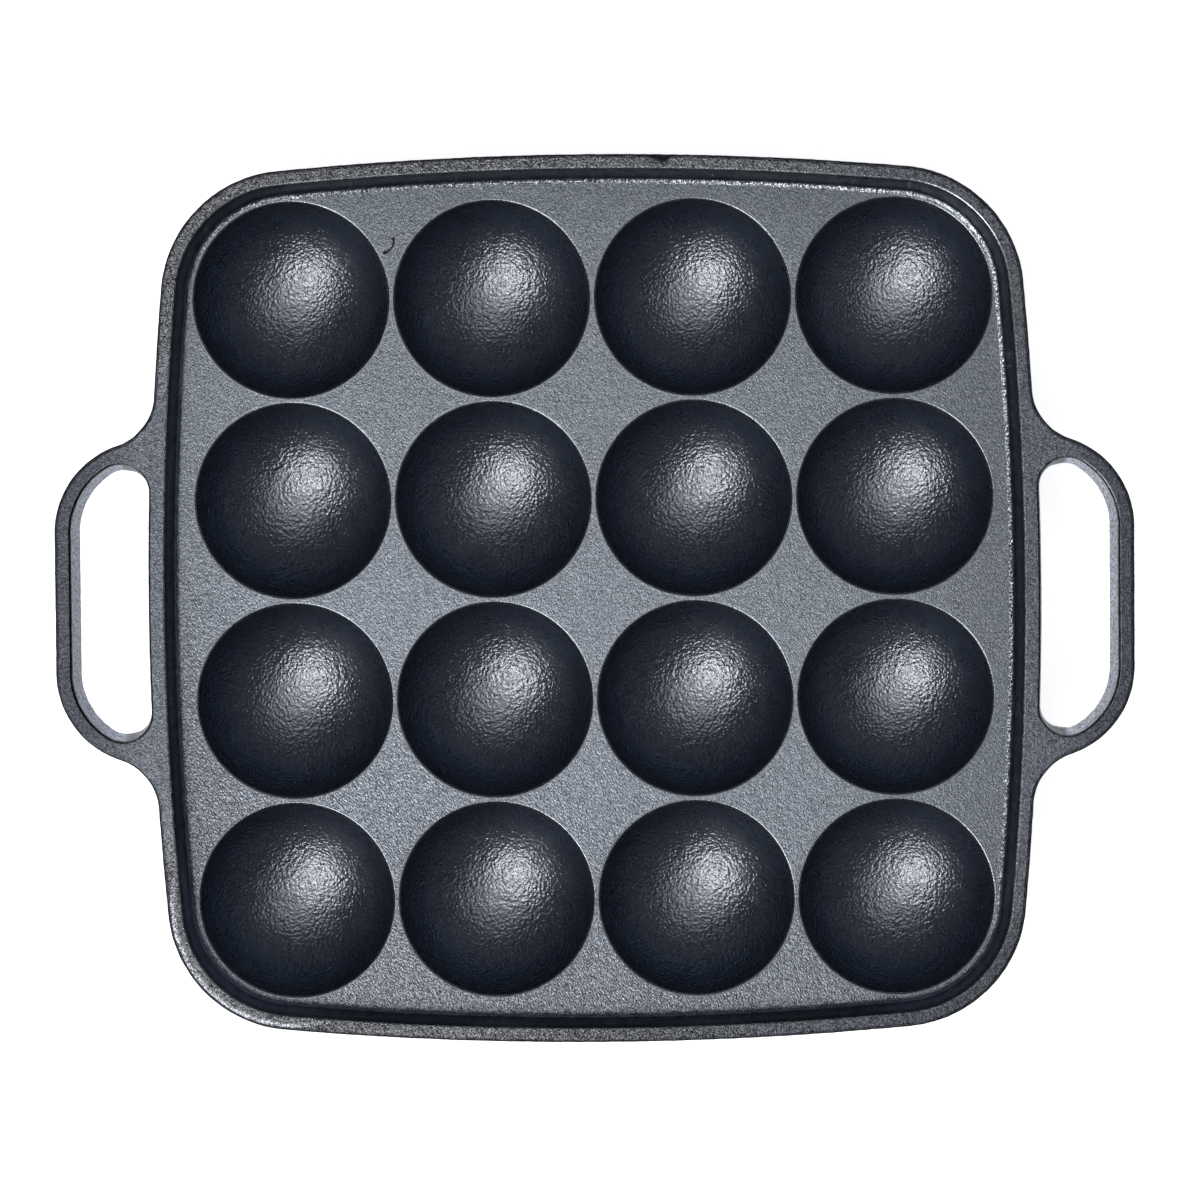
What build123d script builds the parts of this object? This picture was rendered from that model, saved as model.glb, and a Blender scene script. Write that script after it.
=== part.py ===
"""Cast-iron takoyaki pan: a square grid of half-round wells in a sunk deck, with two loop handles.

The pan is one sand casting. It is written here as its named regions, which meet face to face:
a flat deck plate, one cup under each well, the rim wall around the deck and the two handles.

Frame: +Z up, X along the handles. The origin is the centre of the footprint, on the plane
that the flat tips of the cups rest on. All sizes are in millimetres.
"""
import os
from math import hypot, radians, sqrt, tan

from build123d import *

os.makedirs("parts", exist_ok=True)

# Wells
wells_per_side = 4
well_diameter = 40.0
well_web = 1.5  # flat metal left between two neighbouring wells
mouth_rounding = 0.6
deck_thickness = 4.0
cup_wall = 4.0
foot_diameter = 13.8  # flat tip under each cup, which the pan rests on

# Rim
side_ledge = 3.5  # deck between an outer well and the foot of the wall, at a side's middle
corner_ledge = 0.65  # the same, in the corners
rim_height = 6.0  # land above the deck
land_width = 3.1
wall_draft = 10.0  # degrees from upright
wall_foot_fillet = 2.0
outer_draft = 3.0
land_outer_rounding = 0.9
land_inner_rounding = 0.4
rim_underside_rounding = 2.0

# Handles
handle_reach = 19.6  # past the middle of the body's side
handle_straight = 28.8  # straight length of the grip
handle_corner_radius = 19.1
handle_root_radius = 11.3
handle_bar = 3.4  # width of the bar at its top
handle_thickness = 7.0
handle_underside_rounding = 0.9
slot_setback = 0.2  # slot's inner edge beyond the outline of the body's side
slot_corner_radius = 5.9
slot_draft = 8.5
slot_rounding = 0.45
handle_seam_margin = 0.4  # seam of the handle beyond the foot of the slot's inner wall

# Heights
well_radius = well_diameter / 2
cup_radius = well_radius + cup_wall
deck_top = sqrt(cup_radius**2 - (foot_diameter / 2) ** 2)
deck_underside = deck_top - deck_thickness
land_top = deck_top + rim_height
handle_underside = land_top - handle_thickness

# Outline: each corner is an arc about its corner well, and a bowed side joins two corners
well_pitch = well_diameter + well_web
corner_well = (wells_per_side - 1) / 2 * well_pitch
wall_run = rim_height * tan(radians(wall_draft)) + wall_foot_fillet * tan(radians((90 - wall_draft) / 2))
corner_radius = well_radius + corner_ledge + wall_run + land_width
half_body = corner_well + well_radius + side_ledge + wall_run + land_width
corner_to_side = half_body - corner_well
bow_radius = (corner_to_side**2 + corner_well**2 - corner_radius**2) / (
    2 * (corner_to_side - corner_radius)
)
bow_centre = half_body - bow_radius

# Handle places
grip_x = half_body + handle_reach
grip_corner = (grip_x - handle_corner_radius, handle_straight / 2)
slot_inner_x = half_body + slot_setback
slot_outer_x = grip_x - handle_bar
slot_outer_radius = handle_corner_radius - handle_bar
slot_end_radius = min(slot_corner_radius, 0.45 * (slot_outer_x - slot_inner_x))
slot_wall_run = handle_thickness * tan(radians(slot_draft))
handle_seam_x = slot_inner_x + slot_wall_run + handle_seam_margin

# The mouths' rounding stays inside the narrowest metal beside a well
mouth_fillet = min(mouth_rounding, 0.45 * well_web, 0.95 * corner_ledge)


def bowed_square(inset: float) -> None:
    """Draw the body's outline, moved inwards by inset, in the open line context."""
    corner = corner_radius - inset
    bow = bow_radius - inset
    # Where the side's arc meets the corner's arc
    turn_x = (corner_well - bow_centre) / (bow_radius - corner_radius)
    turn_y = corner_well / (bow_radius - corner_radius)
    meet = Vector(bow_centre + bow * turn_x, bow * turn_y)
    corner_middle = Vector(corner_well + corner * sqrt(0.5), corner_well + corner * sqrt(0.5))
    for side in range(4):
        turned = [
            point.rotate(Axis.Z, 90 * side)
            for point in (
                Vector(meet.X, -meet.Y),
                Vector(half_body - inset, 0),
                meet,
                corner_middle,
                Vector(meet.Y, meet.X),
            )
        ]
        ThreePointArc(*turned[0:3])
        ThreePointArc(*turned[2:5])


def centre_beside(bow_distance: float, corner_distance: float) -> Vector:
    """Find the arc centre at given distances from the side's bow centre and the grip's corner."""
    corner_x = grip_corner[0] - bow_centre
    span = hypot(corner_x, grip_corner[1])
    along = (bow_distance**2 - corner_distance**2 + span**2) / (2 * span)
    across = sqrt(bow_distance**2 - along**2)
    unit_x = corner_x / span
    unit_y = grip_corner[1] / span
    return Vector(bow_centre + along * unit_x - across * unit_y, along * unit_y + across * unit_x)


def point_towards(start: Vector, end: Vector, distance: float) -> Vector:
    """Find the point at a distance from start, on the way to end."""
    return start + (end - start).normalized() * distance


def tangent_arc(start: Vector, centre: Vector, end: Vector) -> None:
    """Draw the arc from start to end that bulges away from its centre."""
    middle = (start + end) * 0.5
    ThreePointArc(start, point_towards(centre, middle, (start - centre).length), end)


def handle_outline() -> None:
    """Draw the right handle's outline, closed through the body, in the open line context."""
    bow = Vector(bow_centre, 0)
    corner = Vector(*grip_corner)
    root = centre_beside(bow_radius + handle_root_radius, handle_corner_radius + handle_root_radius)
    on_body = point_towards(root, bow, handle_root_radius)
    on_corner = point_towards(root, corner, handle_root_radius)
    grip_end = Vector(grip_x, grip_corner[1])
    inside = Vector(corner_well, on_body.Y)
    Line(inside, on_body)
    tangent_arc(on_body, root, on_corner)
    tangent_arc(on_corner, corner, grip_end)
    Line(grip_end, Vector(grip_x, 0))
    Line(inside, Vector(corner_well, 0))
    mirror(about=Plane.XZ)


def slot_outline() -> None:
    """Draw the right handle's slot, at its top, in the open line context."""
    bow = Vector(bow_centre, 0)
    corner = Vector(*grip_corner)
    slot_bow = slot_inner_x - bow_centre
    end = centre_beside(slot_bow + slot_end_radius, slot_outer_radius - slot_end_radius)
    on_side = point_towards(bow, end, slot_bow)
    on_corner = point_towards(corner, end, slot_outer_radius)
    outer_end = Vector(slot_outer_x, grip_corner[1])
    tangent_arc(on_side, end, on_corner)
    tangent_arc(on_corner, corner, outer_end)
    Line(outer_end, Vector(slot_outer_x, 0))
    mirror(about=Plane.XZ)
    ThreePointArc(on_side, Vector(slot_inner_x, 0), Vector(on_side.X, -on_side.Y))


def reach_towards(index: int, step: int) -> float:
    """Find how far a cup may spread: half-way to its neighbour, or all its radius at an edge."""
    if 0 <= index + step < wells_per_side:
        return well_pitch / 2
    return cup_radius


# Tray space: what the rim wall encloses above the deck, with the fillet at the wall's foot
with BuildPart() as tray_space:
    with BuildSketch(Plane.XY.offset(land_top)):
        with BuildLine():
            bowed_square(land_width)
        make_face()
    extrude(amount=-rim_height, taper=wall_draft)
    fillet(tray_space.faces().sort_by(Axis.Z)[0].edges(), wall_foot_fillet)

# Core: the deck plate's block, straight down from the foot of the wall
with BuildPart() as core:
    with BuildSketch(Plane.XY.offset(deck_underside)):
        with BuildLine():
            bowed_square(land_width + wall_run)
        make_face()
    extrude(amount=deck_thickness)

# Frame: the rim wall and both handles in one, before the handles are parted from it
with BuildPart() as frame:
    with BuildSketch(Plane.XY.offset(land_top)):
        with BuildLine():
            bowed_square(0)
        make_face()
        with BuildLine():
            handle_outline()
        make_face()
        mirror(about=Plane.YZ)
    extrude(amount=-handle_thickness, taper=outer_draft)
    fillet(frame.faces().sort_by(Axis.Z)[0].outer_wire().edges(), handle_underside_rounding)
    with BuildSketch(Plane.XY.offset(land_top)):
        with BuildLine():
            bowed_square(0)
        make_face()
    extrude(amount=deck_underside - land_top, taper=outer_draft)
    fillet(frame.faces().sort_by(Axis.Z)[0].edges(), rim_underside_rounding)
    with BuildSketch(Plane.XY.offset(land_top)):
        with BuildLine():
            slot_outline()
        make_face()
        mirror(about=Plane.YZ)
    extrude(amount=-handle_thickness, taper=slot_draft, mode=Mode.SUBTRACT)
    add(core.part, mode=Mode.SUBTRACT)
    add(tray_space.part, mode=Mode.SUBTRACT)
    land = frame.faces().sort_by(Axis.Z)[-1]
    *slots, tray_edge = land.inner_wires().sort_by(SortBy.LENGTH)
    fillet(land.outer_wire().edges(), land_outer_rounding)
    fillet([edge for slot in slots for edge in slot.edges()], slot_rounding)
    fillet(tray_edge.edges(), land_inner_rounding)


# Rim wall: the frame between the two handles' seams
with BuildPart() as rim_wall:
    add(frame.part)
    for side in (1, -1):
        with BuildSketch(Plane.YZ.offset(side * handle_seam_x)):
            Rectangle(2 * grip_x, 2 * land_top)
        extrude(amount=side * grip_x, mode=Mode.SUBTRACT)
rim_wall.part.label = "rim_wall"
export_step(rim_wall.part, "parts/rim_wall.step")

# Handles: the two loops, each ending square at its seam
for name, side in (("left_handle", -1), ("right_handle", 1)):
    with BuildPart() as handle:
        with BuildSketch(Plane.YZ.offset(side * handle_seam_x)):
            Rectangle(2 * grip_x, 2 * land_top)
        extrude(amount=side * grip_x)
        add(frame.part, mode=Mode.INTERSECT)
    handle.part.label = name
    export_step(handle.part, f"parts/{name}.step")

# Deck plate: flat, with a round-mouthed hole over each cup
with BuildPart() as deck_plate:
    add(core.part)
    with Locations((0, 0, deck_top)):
        with GridLocations(well_pitch, well_pitch, wells_per_side, wells_per_side):
            Sphere(well_radius, mode=Mode.SUBTRACT)
    mouths = deck_plate.faces().sort_by(Axis.Z)[-1].inner_wires()
    fillet([edge for wire in mouths for edge in wire.edges()], mouth_fillet)
deck_plate.part.label = "deck_plate"
export_step(deck_plate.part, "parts/deck_plate.step")

# Cups: each carries its well down from the deck plate's underside to a flat tip
for row in range(wells_per_side):
    for column in range(wells_per_side):
        centre = Vector(column * well_pitch - corner_well, corner_well - row * well_pitch, deck_top)
        profile_plane = Plane(origin=centre, x_dir=(1, 0, 0), z_dir=(0, -1, 0))
        with BuildPart() as cup:
            with BuildSketch(profile_plane):
                Circle(cup_radius)
                Circle(well_radius, mode=Mode.SUBTRACT)
                with Locations((0, -deck_thickness)):
                    Rectangle(
                        cup_radius,
                        deck_underside,
                        align=(Align.MIN, Align.MAX),
                        mode=Mode.INTERSECT,
                    )
            revolve(axis=Axis(centre, (0, 0, 1)))
            with BuildSketch(Plane.XY):
                with Locations((centre.X, centre.Y)):
                    left = reach_towards(column, -1)
                    right = reach_towards(column, 1)
                    back = reach_towards(row, -1)
                    front = reach_towards(row, 1)
                    with Locations(((right - left) / 2, (back - front) / 2)):
                        Rectangle(left + right, back + front)
            extrude(amount=deck_underside, mode=Mode.INTERSECT)
        name = f"cup_r{row + 1}_c{column + 1}"
        cup.part.label = name
        export_step(cup.part, f"parts/{name}.step")
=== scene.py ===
"""Dress the cast-iron takoyaki pan: its castings, its seasoned finish, a floor, lights and a camera."""
import logging
from collections.abc import Callable, Iterable, Sequence
from dataclasses import dataclass, field
from enum import Enum
from math import acos, asin, atan2, ceil, cos, pi, radians, sin, sqrt, tan

import bmesh
import bpy
from mathutils import Euler, Matrix, Vector, noise


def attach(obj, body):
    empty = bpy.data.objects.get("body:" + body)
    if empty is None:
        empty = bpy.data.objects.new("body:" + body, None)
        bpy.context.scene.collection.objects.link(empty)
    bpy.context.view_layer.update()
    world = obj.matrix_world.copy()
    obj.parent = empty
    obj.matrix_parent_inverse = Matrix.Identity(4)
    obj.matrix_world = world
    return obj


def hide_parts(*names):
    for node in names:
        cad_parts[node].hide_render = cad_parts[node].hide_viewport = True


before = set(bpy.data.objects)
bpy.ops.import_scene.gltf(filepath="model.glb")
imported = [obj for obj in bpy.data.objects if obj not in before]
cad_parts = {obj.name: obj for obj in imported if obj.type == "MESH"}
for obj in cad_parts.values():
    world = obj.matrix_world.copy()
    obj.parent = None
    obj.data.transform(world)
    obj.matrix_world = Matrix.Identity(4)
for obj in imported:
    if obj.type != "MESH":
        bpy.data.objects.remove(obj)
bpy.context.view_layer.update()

BODY = "root"
FACING = "facing"
METRES = 0.001

Loop = list[bmesh.types.BMEdge]
Spot = tuple[float, float]
Way = tuple[float, float, float]
Tone = tuple[float, float, float]

log = logging.getLogger("takoyaki_pan")


def smooth_step(low: float, high: float, value: float) -> float:
    """Rise smoothly from 0 at low to 1 at high.

    Args:
        low: Where the rise begins.
        high: Where it ends.
        value: Where it is read.

    Returns:
        The height of the rise there.
    """
    share = min(1.0, max(0.0, (value - low) / (high - low)))
    return share * share * (3 - 2 * share)


def heading(angle: float) -> Vector:
    """Return the plan direction at an angle from +X, in radians."""
    return Vector((cos(angle), sin(angle)))


# Shares of a rounding's turn at which it gets a loop: close together where it meets a flat
FINE_TURN = (0.0, 0.02, 0.07, 0.16, 0.28, 0.42, 0.58, 0.72, 0.84, 0.93, 0.98, 1.0)
SHORT_TURN = (0.0, 0.04, 0.2, 0.4, 0.6, 0.8, 0.96, 1.0)
# Play of a short turn's loops: none where it leaves a flat, full where it meets a wall
WAKING = tuple(smooth_step(0.0, 1.0, share) for share in SHORT_TURN)


# ---------------------------------------------------------------------------------------------
# Sizes and outlines
# ---------------------------------------------------------------------------------------------


@dataclass(frozen=True)
class PanSizes:
    """The pan's sizes in millimetres, and what follows from them."""

    wells_per_side: int = 4
    well_radius: float = 20.0
    well_web: float = 1.5
    mouth_rounding: float = 0.5
    deck_thickness: float = 4.0
    cup_wall: float = 4.0
    foot_radius: float = 6.9
    side_ledge: float = 3.5
    corner_ledge: float = 0.65
    rim_height: float = 6.0
    land_width: float = 3.1
    wall_run: float = 2.7362
    wall_draft: float = radians(16)
    outer_draft: float = radians(3)
    land_outer_rounding: float = 0.6
    land_inner_rounding: float = 0.6
    rim_underside_rounding: float = 2.0
    handle_reach: float = 19.6
    handle_straight: float = 28.8
    handle_corner_radius: float = 19.1
    handle_root_radius: float = 11.3
    handle_bar: float = 3.4
    handle_thickness: float = 7.0
    handle_underside_rounding: float = 0.9
    slot_setback: float = 0.2
    slot_corner_radius: float = 5.9
    slot_draft: float = radians(11)
    slot_rounding: float = 0.7
    slot_underside_rounding: float = 0.35
    handle_seam_margin: float = 0.0855

    @property
    def cup_radius(self) -> float:
        """Outer radius of a cup."""
        return self.well_radius + self.cup_wall

    @property
    def deck_top(self) -> float:
        """Height of the deck, where the cups' flat tips touch the ground."""
        return sqrt(self.cup_radius**2 - self.foot_radius**2)

    @property
    def deck_underside(self) -> float:
        """Height of the deck plate's underside."""
        return self.deck_top - self.deck_thickness

    @property
    def land_top(self) -> float:
        """Height of the rim's land."""
        return self.deck_top + self.rim_height

    @property
    def handle_underside(self) -> float:
        """Height of the handles' underside."""
        return self.land_top - self.handle_thickness

    @property
    def outer_slope(self) -> float:
        """How far the outside leans in for each millimetre down."""
        return tan(self.outer_draft)

    @property
    def slot_run(self) -> float:
        """How far a slot narrows from the land to the underside."""
        return self.handle_thickness * tan(self.slot_draft)

    @property
    def well_pitch(self) -> float:
        """Distance between neighbouring wells."""
        return 2 * self.well_radius + self.well_web

    @property
    def corner_well(self) -> float:
        """Distance of the outer wells from the middle, along X or Y."""
        return (self.wells_per_side - 1) / 2 * self.well_pitch

    @property
    def wall_foot_fillet(self) -> float:
        """Radius at the inner wall's foot, which takes up what the wall's draft leaves of its run."""
        left = self.wall_run - self.rim_height * tan(self.wall_draft)
        return left / tan((pi / 2 - self.wall_draft) / 2)

    @property
    def deck_inset(self) -> float:
        """Inset of the deck plate from the body's outline."""
        return self.land_width + self.wall_run

    @property
    def corner_radius(self) -> float:
        """Radius of the body's corners, about the corner wells."""
        return self.well_radius + self.corner_ledge + self.deck_inset

    @property
    def half_body(self) -> float:
        """Half the body's width at the middle of a side."""
        return self.corner_well + self.well_radius + self.side_ledge + self.deck_inset

    @property
    def bow_radius(self) -> float:
        """Radius of the body's bowed sides."""
        reach = self.half_body - self.corner_well
        return (reach**2 + self.corner_well**2 - self.corner_radius**2) / (
            2 * (reach - self.corner_radius)
        )

    @property
    def bow_centre(self) -> float:
        """X of the right side's arc centre."""
        return self.half_body - self.bow_radius

    @property
    def bow_half_angle(self) -> float:
        """Half the angle that a bowed side spans."""
        return asin(self.corner_well / (self.bow_radius - self.corner_radius))

    @property
    def grip_x(self) -> float:
        """X of the right grip's outer edge."""
        return self.half_body + self.handle_reach

    @property
    def grip_corner(self) -> Vector:
        """Centre of the right handle's upper corner."""
        return Vector((self.grip_x - self.handle_corner_radius, self.handle_straight / 2))

    @property
    def slot_inner_x(self) -> float:
        """X of the slot's inner edge."""
        return self.half_body + self.slot_setback

    @property
    def handle_seam_x(self) -> float:
        """X of the plane where a handle meets the rim wall."""
        return self.slot_inner_x + self.slot_run + self.handle_seam_margin

    def centre_beside(self, bow_distance: float, corner_distance: float) -> Vector:
        """Find an arc centre from its distances to the side's arc centre and the grip's corner.

        Args:
            bow_distance: Distance from the bowed side's centre.
            corner_distance: Distance from the grip corner's centre.

        Returns:
            The centre in the upper half of the plan.
        """
        bow = Vector((self.bow_centre, 0))
        line = self.grip_corner - bow
        span = line.length
        along = (bow_distance**2 - corner_distance**2 + span**2) / (2 * span)
        across = sqrt(bow_distance**2 - along**2)
        unit = line / span
        return bow + along * unit + across * Vector((-unit.y, unit.x))

    def wells(self) -> Iterable[tuple[int, int, Vector]]:
        """Give each well's row, column and middle at the deck's height."""
        for row in range(self.wells_per_side):
            for column in range(self.wells_per_side):
                x = column * self.well_pitch - self.corner_well
                y = self.corner_well - row * self.well_pitch
                yield row, column, Vector((x, y, self.deck_top))


@dataclass(frozen=True)
class Station:
    """A point of an outline, and the way out of the metal there."""

    place: Vector
    outward: Vector
    on_handle: bool = False
    easing: float = 0.0

    def at(self, inset: float, height: float) -> Vector:
        """Return the point at an inset into the metal and a height."""
        spot = self.place - self.outward * inset
        return Vector((spot.x, spot.y, height))

    def turned(self) -> "Station":
        """Return the station turned half round the pan's middle."""
        return Station(-self.place, -self.outward, self.on_handle, self.easing)


@dataclass(frozen=True)
class Arc:
    """A run of an outline round a centre; side is 1 where the metal is inside it, else -1."""

    centre: Vector
    radius: float
    start: float
    end: float
    side: int = 1

    def stations(self, spacing: float) -> list[Station]:
        """Divide the arc into steps no longer than the spacing, leaving out its end."""
        steps = max(2, ceil(abs(self.end - self.start) * self.radius / spacing))
        rays = [heading(self.start + (self.end - self.start) * step / steps) for step in range(steps)]
        return [Station(self.centre + ray * self.radius, ray * self.side) for ray in rays]


@dataclass(frozen=True)
class Straight:
    """A straight run of an outline."""

    start: Vector
    end: Vector
    outward: Vector

    def stations(self, spacing: float) -> list[Station]:
        """Divide the run into steps no longer than the spacing, leaving out its end."""
        steps = max(2, ceil((self.end - self.start).length / spacing))
        return [Station(self.start.lerp(self.end, step / steps), self.outward) for step in range(steps)]


@dataclass
class Outlines:
    """The pan's outlines as rings of stations, anticlockwise, all at the land's height.

    Each list holds the right or back stretch, then the same turned half round. Gaps between
    handle and body past least_gap leave room for the underside's rounding, by gap_share.
    """

    sizes: PanSizes
    spacing: float = 0.42
    least_gap: float = 0.2
    gap_share: float = 0.6
    sides: list[list[Station]] = field(default_factory=list)
    behind: list[list[Station]] = field(default_factory=list)
    ends: list[list[Station]] = field(default_factory=list)

    def __post_init__(self) -> None:
        """Lay out the handles' sides, the stretches behind the handles and the ends."""
        side, behind = self._right_side()
        for stretch, run in ((self.sides, side), (self.behind, behind), (self.ends, self._back_end())):
            stretch += [run, [station.turned() for station in run]]

    def _walk(self, runs: Iterable[Arc | Straight]) -> list[Station]:
        """Divide runs that follow each other."""
        return [station for run in runs for station in run.stations(self.spacing)]

    def _right_side(self) -> tuple[list[Station], list[Station]]:
        """Walk up the right side round its handle, and straight up behind the handle.

        Returns:
            The land's outer outline and the right handle's inner stretch.
        """
        sizes = self.sizes
        bow = Vector((sizes.bow_centre, 0))
        corner = sizes.grip_corner
        corner_radius = sizes.handle_corner_radius
        root_radius = sizes.handle_root_radius
        root = sizes.centre_beside(sizes.bow_radius + root_radius, corner_radius + root_radius)
        root_angle = atan2(root.y - bow.y, root.x - bow.x)
        corner_angle = atan2(root.y - corner.y, root.x - corner.x)
        low_root = Vector((root.x, -root.y))
        low_corner = Vector((corner.x, -corner.y))
        half = sizes.bow_half_angle
        grip = [Vector((sizes.grip_x, end.y)) for end in (low_corner, corner)]
        loop = (
            Arc(low_root, root_radius, pi - root_angle, pi - corner_angle, -1),
            Arc(low_corner, corner_radius, -corner_angle, 0),
            Straight(*grip, Vector((1, 0))),
            Arc(corner, corner_radius, 0, corner_angle),
            Arc(root, root_radius, corner_angle + pi, root_angle + pi, -1),
        )
        handle = self._walk(loop)
        eased = [handle[0]] + [self._eased(station, bow) for station in handle[1:]]
        below = self._walk([Arc(bow, sizes.bow_radius, -half, -root_angle)])
        above = self._walk([Arc(bow, sizes.bow_radius, root_angle, half)])
        behind = self._walk([Arc(bow, sizes.bow_radius, -root_angle, root_angle)])
        return below + eased + above, behind[1:]

    def _eased(self, station: Station, bow: Vector) -> Station:
        """Give a handle's station the underside rounding that fits beside the body."""
        gap = (station.place - bow).length - self.sizes.bow_radius
        easing = min(self.sizes.handle_underside_rounding, self.gap_share * gap)
        return Station(station.place, station.outward, True, easing if gap > self.least_gap else 0.0)

    def _back_end(self) -> list[Station]:
        """Walk round the back, from the right side's top to the left side's.

        Returns:
            The stations of the back stretch.
        """
        sizes = self.sizes
        half = sizes.bow_half_angle
        well = sizes.corner_well
        runs = (
            Arc(Vector((well, well)), sizes.corner_radius, half, pi / 2 - half),
            Arc(Vector((0, sizes.bow_centre)), sizes.bow_radius, pi / 2 - half, pi / 2 + half),
            Arc(Vector((-well, well)), sizes.corner_radius, pi / 2 + half, pi - half),
        )
        return self._walk(runs)

    def whole(self) -> list[Station]:
        """Return the outline of the body and both handles."""
        return self.sides[0] + self.ends[0] + self.sides[1] + self.ends[1]

    def body(self) -> list[Station]:
        """Return the body's outline alone.

        Returns:
            The body's outline.
        """
        ring: list[Station] = []
        for turn in (0, 1):
            side = self.sides[turn]
            first, last = self.handle_span(turn)
            ring += side[:first] + self.behind[turn] + side[last:] + self.ends[turn]
        return ring

    def handle_span(self, turn: int) -> tuple[int, int]:
        """Return where a side's handle begins, and where the body goes on after it."""
        on_handle = [at for at, station in enumerate(self.sides[turn]) if station.on_handle]
        return on_handle[0], on_handle[-1] + 1

    def slot(self, turn: int) -> list[Station]:
        """Return a handle's slot, with the metal outside it.

        Args:
            turn: 0 for the right slot, 1 for the left.

        Returns:
            Stations that face the slot's middle.
        """
        sizes = self.sizes
        bow = Vector((sizes.bow_centre, 0))
        corner = sizes.grip_corner
        low_corner = Vector((corner.x, -corner.y))
        outer = sizes.handle_corner_radius - sizes.handle_bar
        inner = sizes.slot_inner_x - sizes.bow_centre
        end_radius = sizes.slot_corner_radius
        end = sizes.centre_beside(inner + end_radius, outer - end_radius)
        low_end = Vector((end.x, -end.y))
        bow_angle = atan2(end.y, end.x - bow.x)
        corner_angle = atan2(end.y - corner.y, end.x - corner.x)
        grip = [Vector((sizes.grip_x - sizes.handle_bar, at.y)) for at in (low_corner, corner)]
        runs = (
            Arc(low_end, end_radius, -pi - bow_angle, -corner_angle, -1),
            Arc(low_corner, outer, -corner_angle, 0, -1),
            Straight(*grip, Vector((-1, 0))),
            Arc(corner, outer, 0, corner_angle, -1),
            Arc(end, end_radius, corner_angle, pi + bow_angle, -1),
            Arc(bow, inner, bow_angle, -bow_angle),
        )
        stations = self._walk(runs)
        return [station.turned() for station in stations] if turn else stations


# ---------------------------------------------------------------------------------------------
# Mesh work
# ---------------------------------------------------------------------------------------------


@dataclass(frozen=True)
class Corner:
    """A corner of a profile: its inset, its height and how far it is rounded."""

    inset: float
    height: float
    rounding: float = 0.0
    turn: tuple[float, ...] = FINE_TURN


def eased_profile(*corners: Corner) -> list[Spot]:
    """Follow a profile's straight runs and round its corners.

    Args:
        corners: The corners in order. The first and last are ends.

    Returns:
        Insets and heights along the profile.
    """
    spots = [Vector((corner.inset, corner.height)) for corner in corners]
    path = [spots[0]]
    for before, middle, after, corner in zip(spots, spots[1:], spots[2:], corners[1:]):
        if corner.rounding == 0:
            path.append(middle)
            continue
        back = (before - middle).normalized()
        ahead = (after - middle).normalized()
        wedge = acos(max(-1.0, min(1.0, back.dot(ahead))))
        start = middle + back * corner.rounding / tan(wedge / 2)
        centre = middle + (back + ahead).normalized() * corner.rounding / sin(wedge / 2)
        spin = 1 if back.x * ahead.y - back.y * ahead.x < 0 else -1
        for share in corner.turn:
            path.append(centre + Matrix.Rotation(spin * (pi - wedge) * share, 2) @ (start - centre))
    path.append(spots[-1])
    return [(spot.x, spot.y) for spot in path]


def lathe(mesh: bmesh.types.BMesh, profile: Iterable[Spot], steps: int) -> None:
    """Turn a half section round the upright axis.

    Args:
        mesh: The mesh to add to.
        profile: Radii and heights.
        steps: Steps of the full turn.
    """
    verts = [mesh.verts.new((radius, 0, height)) for radius, height in profile]
    edges = [mesh.edges.new(pair) for pair in zip(verts, verts[1:])]
    bmesh.ops.spin(
        mesh, geom=verts + edges, cent=(0, 0, 0), axis=(0, 0, 1), angle=2 * pi, steps=steps, use_merge=True
    )


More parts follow.
